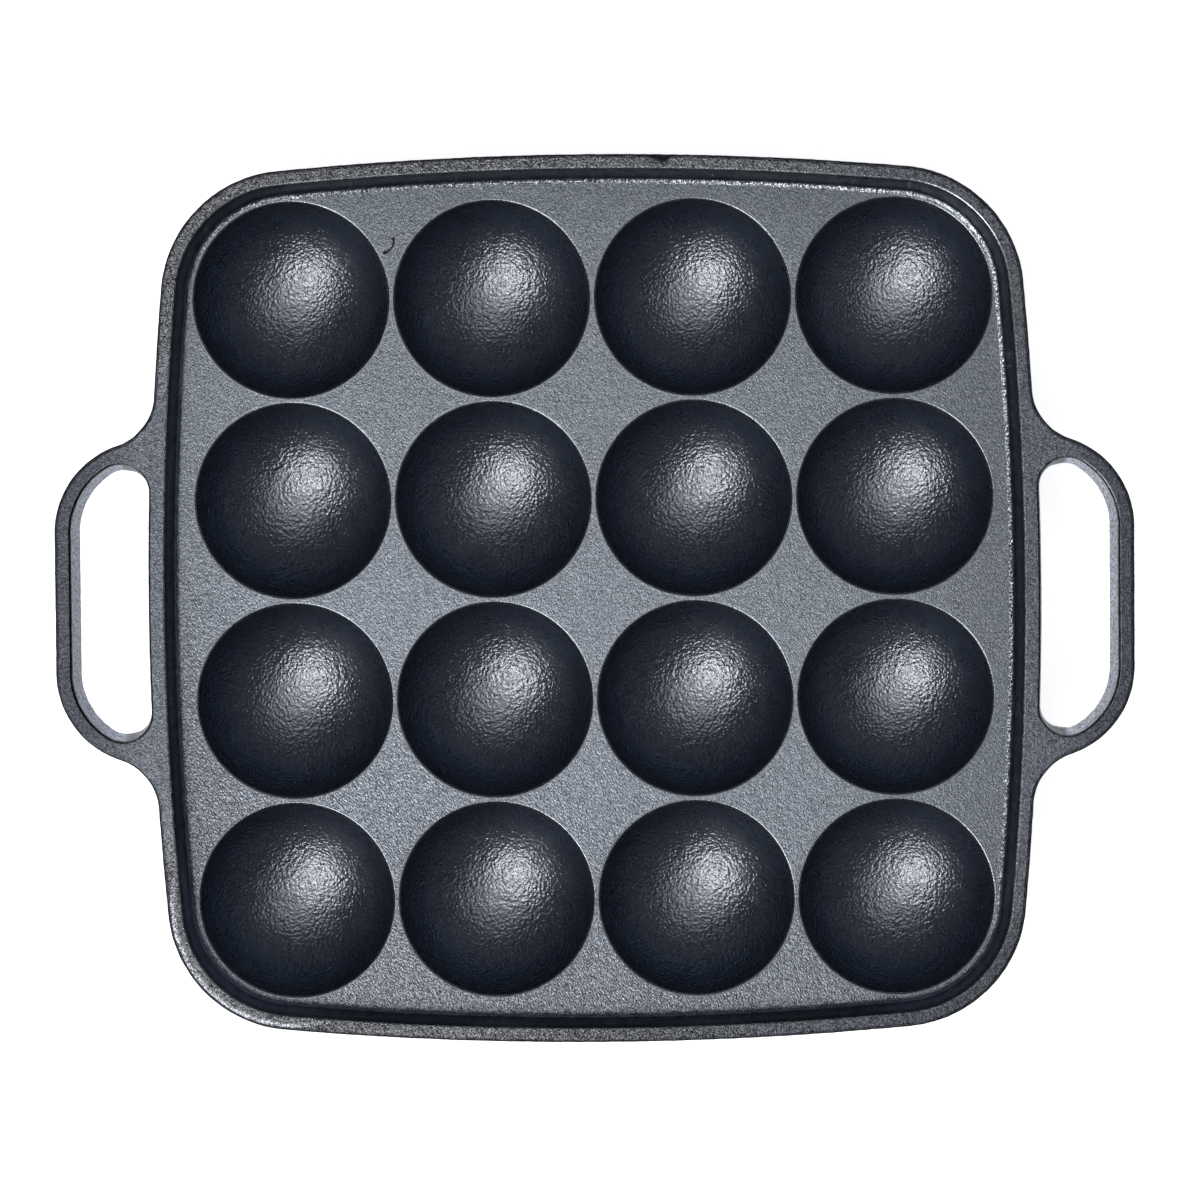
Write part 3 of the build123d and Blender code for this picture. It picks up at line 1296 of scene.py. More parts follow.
@dataclass(frozen=True)
class Value:
    """A shader output that takes part in Python arithmetic."""

    bench: Bench
    socket: bpy.types.NodeSocket

    def __add__(self, other: "Value | float") -> "Value":
        """Add a value."""
        return self.bench.math("ADD", self, other)

    __radd__ = __add__

    def __sub__(self, other: "Value | float") -> "Value":
        """Take a value away."""
        return self.bench.math("SUBTRACT", self, other)

    def __rsub__(self, other: float) -> "Value":
        """Take this value away from a number."""
        return self.bench.math("SUBTRACT", other, self)

    def __mul__(self, other: "Value | float") -> "Value":
        """Multiply by a value."""
        return self.bench.math("MULTIPLY", self, other)

    __rmul__ = __mul__

    def __pow__(self, other: float) -> "Value":
        """Raise to a power."""
        return self.bench.math("POWER", self, other)

    def __abs__(self) -> "Value":
        """Drop the sign."""
        return self.bench.math("ABSOLUTE", self)

    def larger(self, other: "Value | float") -> "Value":
        """Take the larger of two values."""
        return self.bench.math("MAXIMUM", self, other)

    def rise(self, low: "Value | float", high: "Value | float") -> "Value":
        """Rise smoothly from 0 at low to 1 at high.

        Args:
            low: Where it is 0.
            high: Where it is 1.

        Returns:
            The share.
        """
        inputs = {"Value": self, "From Min": low, "From Max": high}
        return self.bench.read(
            "ShaderNodeMapRange", "Result", {"interpolation_type": "SMOOTHSTEP"}, inputs
        )

    def fall(self, low: "Value | float", high: "Value | float") -> "Value":
        """Fall smoothly from 1 at low to 0 at high."""
        return 1 - self.rise(low, high)

    def nearing(self, datum: float, depths: Spot) -> "Value":
        """Rise smoothly from 0 to 1 between two depths under a datum."""
        return self.rise(datum - depths[0], datum - depths[1])

    def parts(self) -> tuple["Value", "Value", "Value"]:
        """Split a place into X, Y and Z."""
        split = self.bench.node("ShaderNodeSeparateXYZ", inputs={0: self})
        return tuple(Value(self.bench, split.outputs[axis]) for axis in "XYZ")

    def towards(self, way: Way) -> "Value":
        """Measure how far a place lies along a way."""
        settings = {"operation": "DOT_PRODUCT"}
        return self.bench.read("ShaderNodeVectorMath", "Value", settings, {0: self, 1: way})

    def away(self, spot: Way) -> "Value":
        """Measure a place's distance from a spot."""
        settings = {"operation": "DISTANCE"}
        return self.bench.read("ShaderNodeVectorMath", "Value", settings, {0: self, 1: spot})

    def on(self, middle: Way, turn: float, size: Way) -> "Value":
        """Give a place on axes of its own.

        Args:
            middle: Their middle.
            turn: Their turn about Z, in degrees.
            size: Their units.

        Returns:
            The place on them.
        """
        inputs = {
            "Vector": self,
            "Location": middle,
            "Rotation": (0.0, 0.0, radians(turn)),
            "Scale": size,
        }
        return self.bench.read("ShaderNodeMapping", "Vector", {"vector_type": "TEXTURE"}, inputs)


class Pattern(Enum):
    """Kinds of relief."""

    GRAINS = "ShaderNodeTexNoise"
    PEBBLES = "ShaderNodeTexVoronoi"


@dataclass(frozen=True)
class Relief:
    """One layer of a surface's relief.

    Attributes:
        size: Size of a grain in millimetres.
        height: Its height in millimetres.
        detail: Finer layers within a grain.
        turn: Turn of its grain about Z, in degrees.
        stretch: How much longer a grain is along its turn.
        pattern: Its kind.
    """

    size: float
    height: float
    detail: float = 1.0
    turn: float = 0.0
    stretch: float = 1.0
    pattern: Pattern = Pattern.GRAINS

    def lay(self, place: Value) -> Value:
        """Add the layer.

        Args:
            place: Where the surface is, in millimetres.

        Returns:
            Its height in millimetres.
        """
        if self.stretch != 1.0:
            place = place.on((0.0, 0.0, 0.0), self.turn, (self.stretch, 1.0, 1.0))
        inputs = {"Vector": place, "Scale": 1 / self.size}
        if self.pattern is Pattern.PEBBLES:
            settings = {"feature": "SMOOTH_F1", "distance": "EUCLIDEAN"}
            inputs["Smoothness"] = 0.6
            cell = place.bench.read(self.pattern.value, "Distance", settings, inputs)
            return (0.5 - cell) * self.height
        inputs |= {"Detail": self.detail, "Roughness": 0.55}
        grain = place.bench.read(self.pattern.value, "Fac", {"noise_dimensions": "3D"}, inputs)
        return (grain - 0.5) * (2 * self.height)


def patches(place: Value, size: float, detail: float) -> Value:
    """Spread patches between 0 and 1 over a surface."""
    return Relief(size, 0.5, detail).lay(place) + 0.5


@dataclass(frozen=True)
class Surface:
    """What a finish gives at a point: its colour, roughness and relief."""

    colour: Value
    roughness: Value
    height: Value

    def over(self, share: Value, under: "Surface", relief: Value | None = None) -> "Surface":
        """Lay this surface over another.

        Args:
            share: Where this surface shows, 0 to 1.
            under: The surface below.
            relief: Where this surface's relief shows, if not as share says.

        Returns:
            The two in one.
        """
        raised = share if relief is None else relief
        return Surface(
            share.bench.mix(share, under.colour, self.colour),
            under.roughness + (self.roughness - under.roughness) * share,
            under.height + (self.height - under.height) * raised,
        )

    def veiled(self, share: Value, veil: Tone) -> "Surface":
        """Darken the colour by a veil where share is 1."""
        colour = share.bench.mix(share, self.colour, (*veil, 1.0), "MULTIPLY")
        return Surface(colour, self.roughness, self.height)

    def raised(self, share: Value) -> "Surface":
        """Raise the relief by a share."""
        return Surface(self.colour, self.roughness, self.height * share)


@dataclass(frozen=True)
class IronFinish:
    """Seasoned iron as one region of the pan shows it.

    Attributes:
        dark: Colour of its darker patches.
        light: Colour of its lighter patches.
        patch: Size of the patches in millimetres.
        roughness: Its lowest and highest roughness.
        reliefs: Layers of its relief.
        pit: Size of its dark pits in millimetres, or 0 for none.
        spread: How softly the patches run into each other.
    """

    dark: Tone
    light: Tone
    patch: float
    roughness: Spot
    reliefs: tuple[Relief, ...]
    pit: float = 0.0
    spread: float = 0.2

    def lay(self, place: Value) -> Surface:
        """Write the finish.

        Args:
            place: Where the surface is, in millimetres.

        Returns:
            The surface it makes.
        """
        mix = place.bench.mix
        height = self.reliefs[0].lay(place)
        for relief in self.reliefs[1:]:
            height = height + relief.lay(place)
        share = patches(place, self.patch, 3.0).rise(0.5 - self.spread, 0.5 + self.spread)
        colour = mix(share, (*self.dark, 1.0), (*self.light, 1.0))
        if self.pit:
            hollow = patches(place, self.pit, 1.0).rise(*PIT_DEPTH)
            colour = mix(hollow, colour, (*PIT_VEIL, 1.0), "MULTIPLY")
        smoothest, roughest = self.roughness
        worn = patches(place, 0.7 * self.patch, 2.0).rise(0.25, 0.75)
        return Surface(colour, worn * (roughest - smoothest) + smoothest, height)


PIT_DEPTH = (0.70, 0.78)
PIT_VEIL = (0.45, 0.45, 0.47)
WELL_LEATHER = IronFinish(
    dark=(0.165, 0.170, 0.182),
    light=(0.195, 0.200, 0.212),
    patch=6.0,
    roughness=(0.26, 0.32),
    reliefs=(Relief(0.72, 0.16, pattern=Pattern.PEBBLES), Relief(0.48, 0.09, 2.0), Relief(3.5, 0.07)),
)
MOUTH_EDGE = IronFinish(
    dark=(0.14, 0.15, 0.17),
    light=(0.19, 0.20, 0.21),
    patch=1.0,
    roughness=(0.22, 0.32),
    reliefs=(Relief(0.5, 0.03),),
)
DECK_GRAIN = IronFinish(
    dark=(0.135, 0.144, 0.162),
    light=(0.330, 0.343, 0.367),
    patch=0.34,
    roughness=(0.32, 0.42),
    reliefs=(Relief(0.29, 0.10, 2.5, -65.0, 1.5), Relief(0.8, 0.04), Relief(6.0, 0.03)),
    pit=0.5,
)
NEAR_GRAIN = IronFinish(
    dark=(0.052, 0.055, 0.064),
    light=(0.232, 0.240, 0.260),
    patch=0.34,
    roughness=(0.28, 0.38),
    reliefs=(Relief(0.36, 0.11, 1.5, -60.0, 1.7), Relief(0.8, 0.04)),
    pit=0.5,
)
# Painted highlight: the pale colour stands in for the key light's glint along the wall's foot.
FOOT_TEETH_HIGHLIGHT = IronFinish(
    dark=(0.12, 0.125, 0.14),
    light=(0.54, 0.55, 0.57),
    patch=0.5,
    roughness=(0.26, 0.36),
    reliefs=(Relief(0.42, 0.13, 1.5, -60.0, 1.5), Relief(1.2, 0.05)),
    spread=0.12,
)
CREST = IronFinish(
    dark=(0.24, 0.25, 0.26),
    light=(0.34, 0.35, 0.36),
    patch=1.5,
    roughness=(0.20, 0.30),
    reliefs=(Relief(0.5, 0.03),),
)
CAST_SKIN = IronFinish(
    dark=(0.060, 0.062, 0.070),
    light=(0.110, 0.113, 0.122),
    patch=1.6,
    roughness=(0.40, 0.54),
    reliefs=(Relief(0.45, 0.09, 2.0), Relief(2.6, 0.08)),
)
LAND_GRIT = IronFinish(
    dark=(0.020, 0.020, 0.022),
    light=(0.250, 0.248, 0.252),
    patch=0.40,
    roughness=(0.26, 0.42),
    reliefs=(Relief(0.34, 0.13, 2.0), Relief(0.55, 0.07)),
)
# Painted highlight: the key light's reflection on the land's outer half at the near left corner.
LAND_PAINTED_HIGHLIGHT = IronFinish(
    dark=(0.050, 0.050, 0.054),
    light=(0.62, 0.62, 0.65),
    patch=0.40,
    roughness=(0.24, 0.36),
    reliefs=(Relief(0.34, 0.11, 2.0), Relief(0.55, 0.05)),
)
WALL_SKIN = IronFinish(
    dark=(0.095, 0.115, 0.165),
    light=(0.155, 0.18, 0.24),
    patch=3.0,
    roughness=(0.32, 0.42),
    reliefs=(Relief(0.5, 0.04), Relief(1.5, 0.03)),
)
HANDLE_SATIN = IronFinish(
    dark=(0.060, 0.063, 0.073),
    light=(0.180, 0.187, 0.204),
    patch=0.40,
    roughness=(0.34, 0.48),
    reliefs=(Relief(0.32, 0.08, 2.0), Relief(1.4, 0.04)),
    pit=0.5,
)
# Pale, bluish colour that is partly painted reflection of the white floor in the slot walls; the upright
# grain is the casting's own.
SLOT_SKIN_AND_REFLECTION = IronFinish(
    dark=(0.15, 0.17, 0.21),
    light=(0.55, 0.57, 0.66),
    patch=0.6,
    roughness=(0.30, 0.42),
    reliefs=(Relief(0.45, 0.12, 1.5, 90.0, 2.0), Relief(2.0, 0.04)),
    spread=0.12,
)


@dataclass(frozen=True)
class Scratch:
    """A dark hook-shaped scratch in the deck: one side of a long oval.

    Attributes:
        middle: The oval's middle in plan, in millimetres.
        turn: Turn of its long axis from +X, in degrees.
        length: Half its length.
        bulge: Half its width.
        width: The scratch's width.
    """

    middle: Spot = (-41.95, 73.25)
    turn: float = 56.0
    length: float = 1.7
    bulge: float = 0.75
    width: float = 0.46

    def mask(self, place: Value) -> Value:
        """Return 1 on the scratch and 0 off it.

        Args:
            place: Where the shader is asked.

        Returns:
            The mask, 1 in the scratch.
        """
        along, across, _ = place.on((*self.middle, 0.0), self.turn, (self.length, self.bulge, 1.0)).parts()
        off = abs((along**2.0 + across**2.0) ** 0.5 - 1.0)
        line = off.fall(0.2 * self.width / self.bulge, 0.5 * self.width / self.bulge)
        return line * across.fall(0.1, 0.5)


@dataclass(frozen=True)
class CupDressing:
    """Leather inside the wells, with painted shade up their upper walls, over cast skin on the cups'
    outsides.

    Attributes:
        sizes: The pan's sizes.
        skin: Distances past the well's radius between which the leather gives way.
        skirt: Depths between which the painted shade comes in up the well.
        veil: The painted shade's tone, which darkens the upper walls to navy.
        margin: How far inside the outermost cells' borders places are counted into wells.
    """

    sizes: PanSizes
    skin: Spot = (1.0, 1.5)
    skirt: Spot = (16.5, 9.5)
    veil: Tone = (0.52, 0.63, 0.84)
    margin: float = 0.001

    def lay(self, place: Value) -> Surface:
        """Dress the cups.

        Args:
            place: Where the shader is asked.

        Returns:
            The dressed surface.
        """
        sizes = self.sizes
        height = place.parts()[2]
        reach = (self.from_well(place) ** 2.0 + (sizes.deck_top - height) ** 2.0) ** 0.5
        inside = reach.fall(*(sizes.well_radius + past for past in self.skin))
        skirt = height.nearing(sizes.deck_top, self.skirt)
        # Painted shade: the upper walls of the wells are darkened towards the mouth.
        leather = WELL_LEATHER.lay(place).veiled(skirt, self.veil)
        return leather.over(inside, CAST_SKIN.lay(place))

    def from_well(self, place: Value) -> Value:
        """Measure how far a place is from the nearest well's middle, in plan.

        Args:
            place: Where the shader is asked.

        Returns:
            The distance.
        """
        math = place.bench.math
        pitch = self.sizes.well_pitch
        limit = self.sizes.wells_per_side * pitch / 2 - self.margin
        squares = []
        for spot in place.parts()[:2]:
            held = math("MINIMUM", spot.larger(-limit), limit)
            share = math("FLOORED_MODULO", held, pitch) - pitch / 2
            squares.append(abs(share + (spot - held)) ** 2.0)
        return (squares[0] + squares[1]) ** 0.5


@dataclass(frozen=True)
class DeckDressing:
    """Fine grain on the deck's face under painted shade, a worn edge round each mouth and leather in the
    holes.

    A finish or a veil comes in over its span. Spans of height are depths under the deck, and the
    others are places in millimetres.
    """

    sizes: PanSizes
    edge: Spot = (0.5, 0.3)
    face: Spot = (0.008, 0.002)
    grain_margin: float = 0.45
    # Painted shade over the deck: its share at the palest spot, its growth away from there, and more at the
    # borders, where the wall shades the deck
    painted_light_spot: Spot = (-50.0, -30.0)
    least_painted_shade: float = 0.18
    painted_shade_growth: float = 0.0038
    border_painted_shade: float = 0.28
    border: Spot = (66.0, 88.0)
    border_shift: float = 7.0
    veil: Tone = (0.50, 0.50, 0.50)
    # The coarser grain towards the near left corner, and the relief's loss under the painted shade
    near_way: Way = (-0.45, -0.9, 0.0)
    near: Spot = (-25.0, 85.0)
    relief: float = 1.4
    relief_loss: float = 0.75
    scratch: Scratch = Scratch()
    scratch_veil: Tone = (0.08, 0.08, 0.09)

    def lay(self, place: Value) -> Surface:
        """Dress the deck plate.

        Args:
            place: Where the shader is asked.

        Returns:
            The dressed surface.
        """
        sizes = self.sizes
        height = place.parts()[2]
        cups = CupDressing(sizes)
        edge = height.nearing(sizes.deck_top, self.edge)
        face = height.nearing(sizes.deck_top, self.face)
        mouth = sizes.well_radius + sizes.mouth_rounding
        grain = cups.from_well(place).rise(mouth, mouth + self.grain_margin)
        holes = MOUTH_EDGE.lay(place).over(edge, cups.lay(place))
        scratched = self.grain(place).veiled(self.scratch.mask(place), self.scratch_veil)
        return scratched.over(face, holes, grain)

    def grain(self, place: Value) -> Surface:
        """Lay the deck's grain, rougher towards the near left corner, under painted shade that is least
        near there and grows away from it.

        Args:
            place: Where the shader is asked.

        Returns:
            The grained surface.
        """
        x, y, _ = place.parts()
        outer = (x + self.border_shift).larger(-1.0 * x).larger(y)
        away = place.away((*self.painted_light_spot, self.sizes.deck_top))
        # dark is the share of painted shade: least at the palest spot, more away from it and along the
        # borders beside the wall
        dark = self.least_painted_shade + self.painted_shade_growth * away + self.border_painted_shade * outer.rise(*self.border)
        near = place.towards(self.near_way).rise(*self.near)
        grain = DECK_GRAIN.lay(place).raised(self.relief - self.relief_loss * dark)
        return NEAR_GRAIN.lay(place).over(near, grain).veiled(dark, self.veil)


@dataclass(frozen=True)
class RimDressing:
    """The rim's finishes with their painted shade and highlights, from the foot of its wall to the land and
    the handles' slots.

    A finish or a veil comes in over its span. Spans of height are depths under the land or the
    deck, spans of facing are of the noted attribute, and the others are places in millimetres.
    """

    sizes: PanSizes
    # Inner wall and outside, with painted shade on the wall's upper part and towards the back right, and
    # under the land's outer edge
    inward: Spot = (0.15, 0.4)
    outward: Spot = (-0.4, -0.1)
    wall_shade: Spot = (2.4, 1.0)
    wall_painted_shade: Tone = (0.42, 0.43, 0.45)
    edge_shade: Spot = (2.0, 0.8)
    edge_painted_shade: Tone = (0.25, 0.26, 0.30)
    # The wall's foot, toothed towards the back right corner, where a painted highlight is added to its
    # fillet's own, brightest at its far end
    back_right: Way = (0.62, 0.78, 0.0)
    toothed: Spot = (-20.0, 20.0)
    brightest_highlight: Spot = (62.0, 96.0)
    teeth_highlight_dimming: Tone = (0.52, 0.52, 0.53)
    foot_start: Spot = (0.3, 0.1)
    foot_end: Spot = (0.0, 0.2)
    foot_rise: Spot = (0.1, 0.2)
    foot_facing: Spot = (-0.5, -0.1)
    # The slots' lining, with painted shade along its top, over the left slot and on the crest round the
    # slots
    slot_start: float = 1.0
    left: Spot = (-1.0, 1.0)
    lip_shade: Spot = (1.0, 0.6)
    lip_painted_shade: Tone = (0.13, 0.14, 0.16)
    left_slot_painted_shade: Tone = (0.46, 0.48, 0.53)
    # The land, gritty past the handles and smoother at the right
    smoother: Spot = (10.0, 70.0)
    past_handle: Spot = (38.0, 60.0)
    grit_loss: float = 0.7
    bar: Spot = (92.0, 104.0)
    bar_veil: Tone = (0.56, 0.56, 0.57)
    # Painted shade on its near side, and a painted highlight round the near left corner
    near_way: Way = (0.26, -0.97, 0.0)
    near: Spot = (82.0, 93.0)
    near_painted_shade: Tone = (0.65, 0.66, 0.69)
    highlight_reach: Spot = (98.0, 110.0)
    highlight_start: Spot = (1.9, 1.2)
    highlight_end: Spot = (0.85, 0.55)
    # Its outer edge and the inner wall's crest, which gets painted shade round the slots
    brink: Spot = (0.12, 0.02)
    brink_shift: Spot = (0.09, 0.015)
    crest: Spot = (0.3, 0.15)
    crest_end: Spot = (0.01, 0.002)
    crest_painted_shade: Tone = (0.32, 0.32, 0.34)

    def lay(self, place: Value) -> Surface:
        """Dress the rim and the handles.

        Args:
            place: Where the shader is asked.

        Returns:
            The dressed surface.
        """
        sizes = self.sizes
        top = sizes.land_top
        x, _, height = place.parts()
        facing = place.bench.read("ShaderNodeAttribute", "Fac", {"attribute_name": FACING})
        inward = facing.rise(*self.inward)
        outward = facing.fall(*self.outward)
        slot = inward * abs(x).rise(sizes.slot_inner_x, sizes.slot_inner_x + self.slot_start)
        left = x.fall(*self.left)
        # Painted shade: the outside darkens under the land's outer edge.
        edge = outward * height.nearing(top, self.edge_shade)
        outside = CAST_SKIN.lay(place).veiled(edge, self.edge_painted_shade)
        wall = self._inner_wall(place, height, facing, inward, outside)
        # Painted shade along the top of the slot lining, and over the whole left slot.
        lining = SLOT_SKIN_AND_REFLECTION.lay(place).veiled(height.nearing(top, self.lip_shade), self.lip_painted_shade)
        wall = lining.veiled(left, self.left_slot_painted_shade).over(slot, wall)
        span = [top - depth + shift * outward for depth, shift in zip(self.brink, self.brink_shift)]
        wall = self._near_side(place, self._land(place)).over(height.rise(*span), wall)
        crest = inward * height.nearing(top, self.crest) * (1 - height.nearing(top, self.crest_end))
        # Painted shade on the crest round the slots, darker still at the left slot.
        edging = CREST.lay(place).veiled(slot, self.crest_painted_shade).veiled(slot * left, self.lip_painted_shade)
        return edging.over(crest, wall)

    def _inner_wall(
        self, place: Value, height: Value, facing: Value, inward: Value, outside: Surface
    ) -> Surface:
        """Lay the inner wall, with painted shade and its toothed foot with a painted highlight, over the
        outside.

        Args:
            place: Where the surface is, in millimetres.
            height: Its height in millimetres.
            facing: How far it faces the pan's axis.
            inward: Where it is inner wall.
            outside: The finish of the outside.

        Returns:
            The two in one.
        """
        deck = self.sizes.deck_top
        across = place.towards(self.back_right)
        toothed = across.rise(*self.toothed)
        upper = height.nearing(self.sizes.land_top, self.wall_shade)
        # Painted shade: the wall is darkened near the land and towards the back right corner.
        wall = WALL_SKIN.lay(place).veiled(upper, self.wall_painted_shade).veiled(toothed, self.wall_painted_shade)
        wall = wall.over(inward, outside)
        end = [deck + up + more * toothed for up, more in zip(self.foot_end, self.foot_rise)]
        foot = height.nearing(deck, self.foot_start) * height.fall(*end) * facing.rise(*self.foot_facing)
        # Painted highlight along the toothed foot, dimmed except at its far end.
        lit_teeth = FOOT_TEETH_HIGHLIGHT.lay(place).veiled(across.fall(*self.brightest_highlight), self.teeth_highlight_dimming)
        return lit_teeth.over(toothed, DeckDressing(self.sizes).grain(place)).over(foot, wall)

    def _land(self, place: Value) -> Surface:
        """Lay the land, gritty away from the satin handles and smoother at the right.

        Args:
            place: Where the shader is asked.

        Returns:
            The land's surface.
        """
        x, y, _ = place.parts()
        smoother = x.rise(*self.smoother)
        past_handle = abs(y).rise(*self.past_handle)
        gritty = past_handle * (1 - self.grit_loss * smoother)
        dimmed = smoother * (1 - self.grit_loss + self.grit_loss * past_handle)
        bar = abs(x).rise(*self.bar).larger(dimmed)
        return LAND_GRIT.lay(place).over(gritty, HANDLE_SATIN.lay(place).veiled(bar, self.bar_veil))

    def _near_side(self, place: Value, land: Surface) -> Surface:
        """Paint shade along the land's near side and a highlight on its outer half round the near left
        corner.

        Args:
            place: Where the surface is, in millimetres.
            land: The land elsewhere.

        Returns:
            The land.
        """
        sizes = self.sizes
        # Painted shade along the near side.
        land = land.veiled(place.towards(self.near_way).rise(*self.near), self.near_painted_shade)
        out = place.away((-sizes.corner_well, -sizes.corner_well, sizes.land_top))
        here = place.towards((-sqrt(0.5), -sqrt(0.5), 0.0)).rise(*self.highlight_reach)
        brink = out.nearing(sizes.corner_radius, self.highlight_end)
        # Painted highlight on the land's outer half round the near left corner, and painted shade on the
        # outer edge beyond it.
        highlight_streak = here * out.nearing(sizes.corner_radius, self.highlight_start) * (1 - brink)
        return LAND_PAINTED_HIGHLIGHT.lay(place).over(highlight_streak, land).veiled(here * brink, self.edge_painted_shade)


class Region(Enum):
    """Kinds of casting, by the surfaces that they show."""

    DECK = "deck_iron"
    CUP = "cup_iron"
    RIM = "rim_iron"


@dataclass
class IronShop:
    """Makes the seasoned iron for each kind of casting, once each."""

    sizes: PanSizes
    made: dict[Region, bpy.types.Material] = field(default_factory=dict)

    def iron(self, region: Region) -> bpy.types.Material:
        """Return the material for a kind of casting."""
        if region not in self.made:
            self.made[region] = self._make(region)
        return self.made[region]

    def _make(self, region: Region) -> bpy.types.Material:
        """Write a region's material.

        Args:
            region: The region to dress.

        Returns:
            Its material.
        """
        kinds = {Region.DECK: DeckDressing, Region.CUP: CupDressing, Region.RIM: RimDressing}
        material = bpy.data.materials.new(region.value)
        material.use_nodes = True
        bench = Bench(material.node_tree)
        coordinates = bench.node("ShaderNodeTexCoord").outputs["Object"]
        inputs = {0: coordinates, "Scale": 1 / METRES}
        place = bench.read("ShaderNodeVectorMath", "Vector", {"operation": "SCALE"}, inputs)
        surface = kinds[region](self.sizes).lay(place)
        inputs = {"Strength": 1.0, "Distance": METRES, "Height": surface.height}
        inputs = {
            "Base Color": surface.colour,
            "Roughness": surface.roughness,
            "Metallic": 1.0,
            "Normal": bench.read("ShaderNodeBump", "Normal", inputs=inputs),
        }
        shader = bench.read("ShaderNodeBsdfPrincipled", "BSDF", inputs=inputs)
        bench.node("ShaderNodeOutputMaterial", inputs={"Surface": shader})
        return material


# ---------------------------------------------------------------------------------------------
# Studio
# ---------------------------------------------------------------------------------------------


@dataclass(frozen=True)
class Softbox:
    """A round lamp that points at the pan.

    Attributes:
        name: Its name.
        tilt: Angle from straight overhead, in degrees.
        bearing: Direction it stands in, anticlockwise from +X, in degrees.
        distance: How far off it is, in metres.
        spread: Half the angle that it fills, in degrees.
        radiance: How bright its face is.
        colour: Its colour.
    """

    name: str
    tilt: float
    bearing: float
    distance: float
    spread: float
    radiance: float
    colour: Tone

    def place(self) -> bpy.types.Object:
        """Hang the lamp and return it.

        Returns:
            The lamp.
        """
        radius = self.distance * tan(radians(self.spread))
        lamp = bpy.data.lights.new(self.name, "AREA")
        lamp.shape = "DISK"
        lamp.size = 2 * radius
        lamp.energy = self.radiance * pi * pi * radius**2
        lamp.color = self.colour
        piece = bpy.data.objects.new(self.name, lamp)
        turn = Euler((0, radians(self.tilt), radians(self.bearing)), "XYZ").to_matrix()
        piece.matrix_world = Matrix.Translation(turn @ Vector((0, 0, self.distance))) @ turn.to_4x4()
        piece.visible_camera = False
        bpy.context.scene.collection.objects.link(piece)
        log.info("%s: %.1f W", self.name, lamp.energy)
        return piece


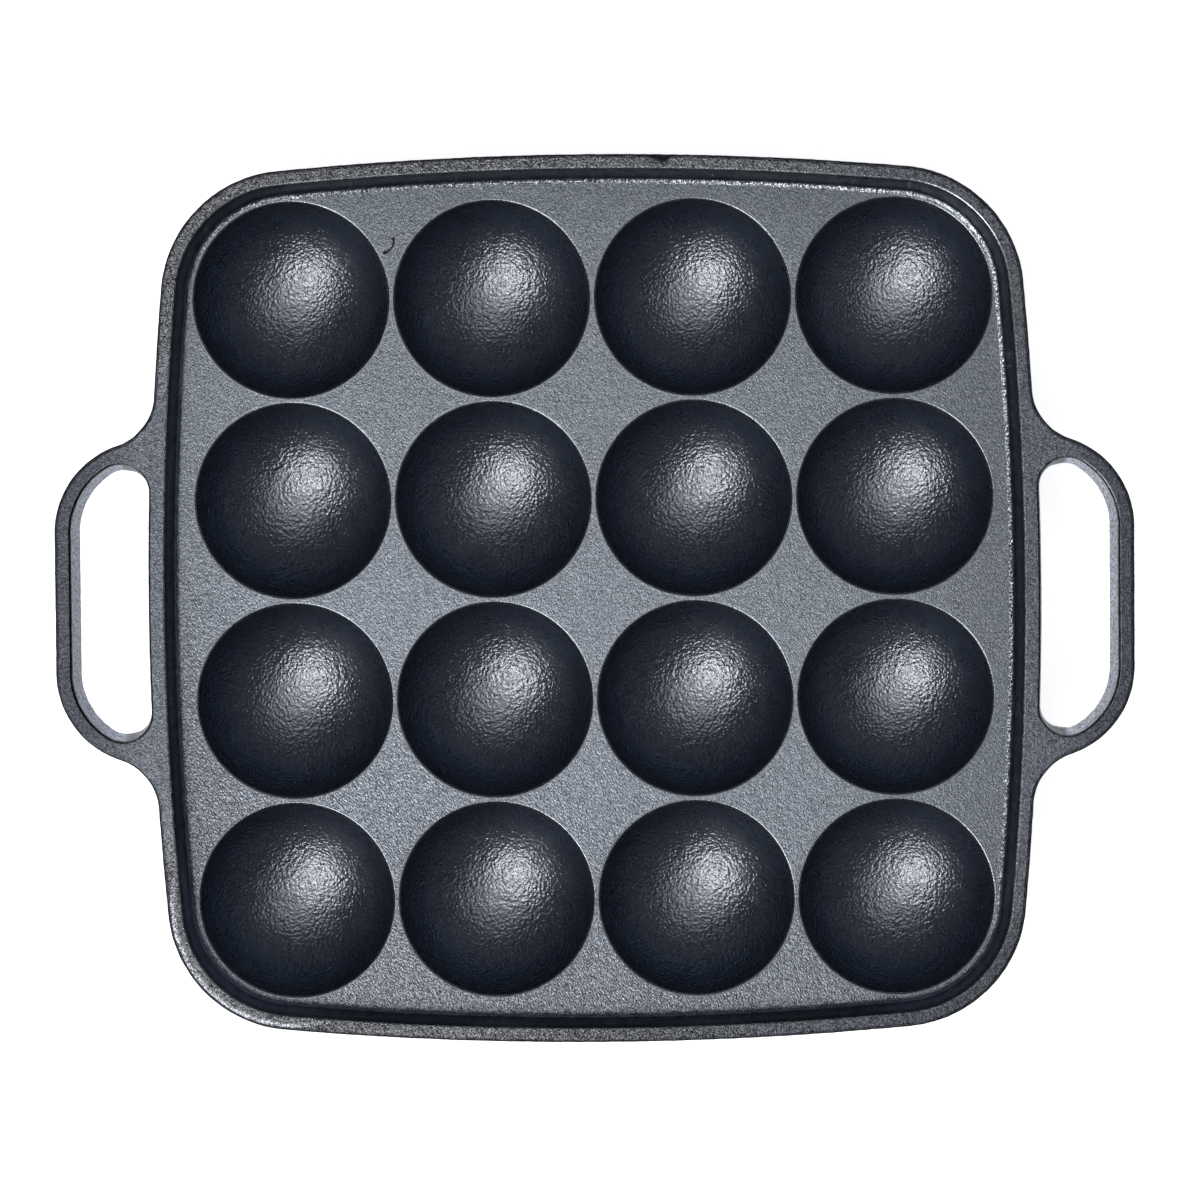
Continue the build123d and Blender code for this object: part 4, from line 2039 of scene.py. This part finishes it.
@dataclass
class Studio:
    """The floor, the lamps and the camera round the pan.

    The floor is in metres. The camera looks at a spot on the deck, and like its distance that is
    in millimetres. Its turns from straight down, about X, Y and Z, are in degrees.
    """

    sizes: PanSizes
    floor_radius: float = 3.0
    flat_radius: float = 0.4
    cove_height: float = 0.5
    cove_steps: int = 8
    floor_steps: int = 96
    floor_tone: Tone = (0.83, 0.83, 0.84)
    floor_glow: float = 0.80
    dusk: Tone = (0.03, 0.03, 0.0315)
    lamps: tuple[Softbox, ...] = (
        Softbox("overhead_softbox", 0.0, 0.0, 1.6, 32.0, 1.25, (0.94, 1.0, 1.07)),
        Softbox("key_softbox", 36.8, 231.0, 1.8, 16.0, 8.6, (0.98, 1.0, 1.03)),
    )
    look_at: Spot = (1.14, -0.26)
    camera_distance: float = 950.0
    camera_turn: Way = (-2.464, 0.818, -0.416)
    lens: float = 137.7

    def build(self) -> None:
        """Set up the whole studio."""
        self._floor()
        for lamp in self.lamps:
            lamp.place()
        world = bpy.data.worlds.new("dusk")
        world.use_nodes = True
        world.node_tree.nodes["Background"].inputs["Color"].default_value = (*self.dusk, 1)
        bpy.context.scene.world = world
        self._camera()
        bpy.context.scene.view_settings.view_transform = "Standard"

    def _floor(self) -> None:
        """Spin a pale floor that curves up at its edge."""
        mesh = bmesh.new()
        bend = self.cove_height
        edge = self.floor_radius - bend
        angles = [pi / 2 * step / self.cove_steps for step in range(1, self.cove_steps + 1)]
        cove = [(edge + bend * sin(angle), bend - bend * cos(angle)) for angle in angles]
        lathe(mesh, [(0.0, 0.0), (self.flat_radius, 0.0), (edge, 0.0)] + cove, self.floor_steps)
        bmesh.ops.remove_doubles(mesh, verts=mesh.verts[:], dist=1e-5)
        bmesh.ops.recalc_face_normals(mesh, faces=mesh.faces[:])
        if mesh.faces[0].normal.z < 0:
            bmesh.ops.reverse_faces(mesh, faces=mesh.faces[:])
        mesh_piece("studio_floor", mesh, self._floor_finish())

    def _floor_finish(self) -> bpy.types.Material:
        """Make matt white paper that the camera and reflections see as white.

        Returns:
            The material.
        """
        material = bpy.data.materials.new("paper")
        material.use_nodes = True
        bench = Bench(material.node_tree)
        path = bench.node("ShaderNodeLightPath")
        kinds = ("Camera", "Glossy", "Transmission")
        rays = [Value(bench, path.outputs[f"Is {kind} Ray"]) for kind in kinds]
        glow = rays[0].larger(rays[1]).larger(rays[2]) * self.floor_glow
        inputs = {"Color": (*self.floor_tone, 1)}
        paper = bench.read("ShaderNodeBsdfDiffuse", "BSDF", inputs=inputs)
        inputs = {"Color": (1, 1, 1, 1), "Strength": glow}
        glowing = bench.read("ShaderNodeEmission", "Emission", inputs=inputs)
        both = bench.read("ShaderNodeAddShader", "Shader", inputs={0: paper, 1: glowing})
        bench.node("ShaderNodeOutputMaterial", inputs={"Surface": both})
        return material

    def _camera(self) -> None:
        """Hang the camera over the pan."""
        eye = bpy.data.cameras.new("camera")
        eye.sensor_width = 36
        eye.lens = self.lens
        eye.clip_start = 0.05
        camera = bpy.data.objects.new("camera", eye)
        turn = Matrix.Identity(3)
        for angle, axis in zip(self.camera_turn, "XYZ"):
            turn = turn @ Matrix.Rotation(radians(angle), 3, axis)
        aim = Vector((*self.look_at, self.sizes.deck_top))
        place = (aim + turn @ Vector((0, 0, self.camera_distance))) * METRES
        camera.matrix_world = Matrix.Translation(place) @ turn.to_4x4()
        bpy.context.scene.collection.objects.link(camera)
        bpy.context.scene.camera = camera


def main() -> None:
    """Build, dress and light the pan."""
    logging.basicConfig(level=logging.INFO, format="%(message)s")
    sizes = PanSizes()
    shop = IronShop(sizes)
    chips = (
        Chip(Vector((13.9, 91.5)), Vector((0, -1)), start=-3.6, end=2.5, depth=1.15, drop=1.1),
        Chip(Vector((80.6, 81.2)), -Vector((1, 1)).normalized(), start=-0.6, end=0.6, depth=0.85, drop=1.0),
    )
    for node, casting in RimAndHandles(sizes, Outlines(sizes), chips).build().items():
        casting.finish(node, shop.iron(Region.RIM))
    DeckPlate(sizes).build().finish("deck_plate", shop.iron(Region.DECK))
    blank = CupBlank(sizes).build()
    for row, column, middle in sizes.wells():
        cup = Cup(sizes, row, column, middle)
        cup.build(blank).finish(cup.name, shop.iron(Region.CUP))
    Studio(sizes).build()


if __name__ == "__main__":
    main()
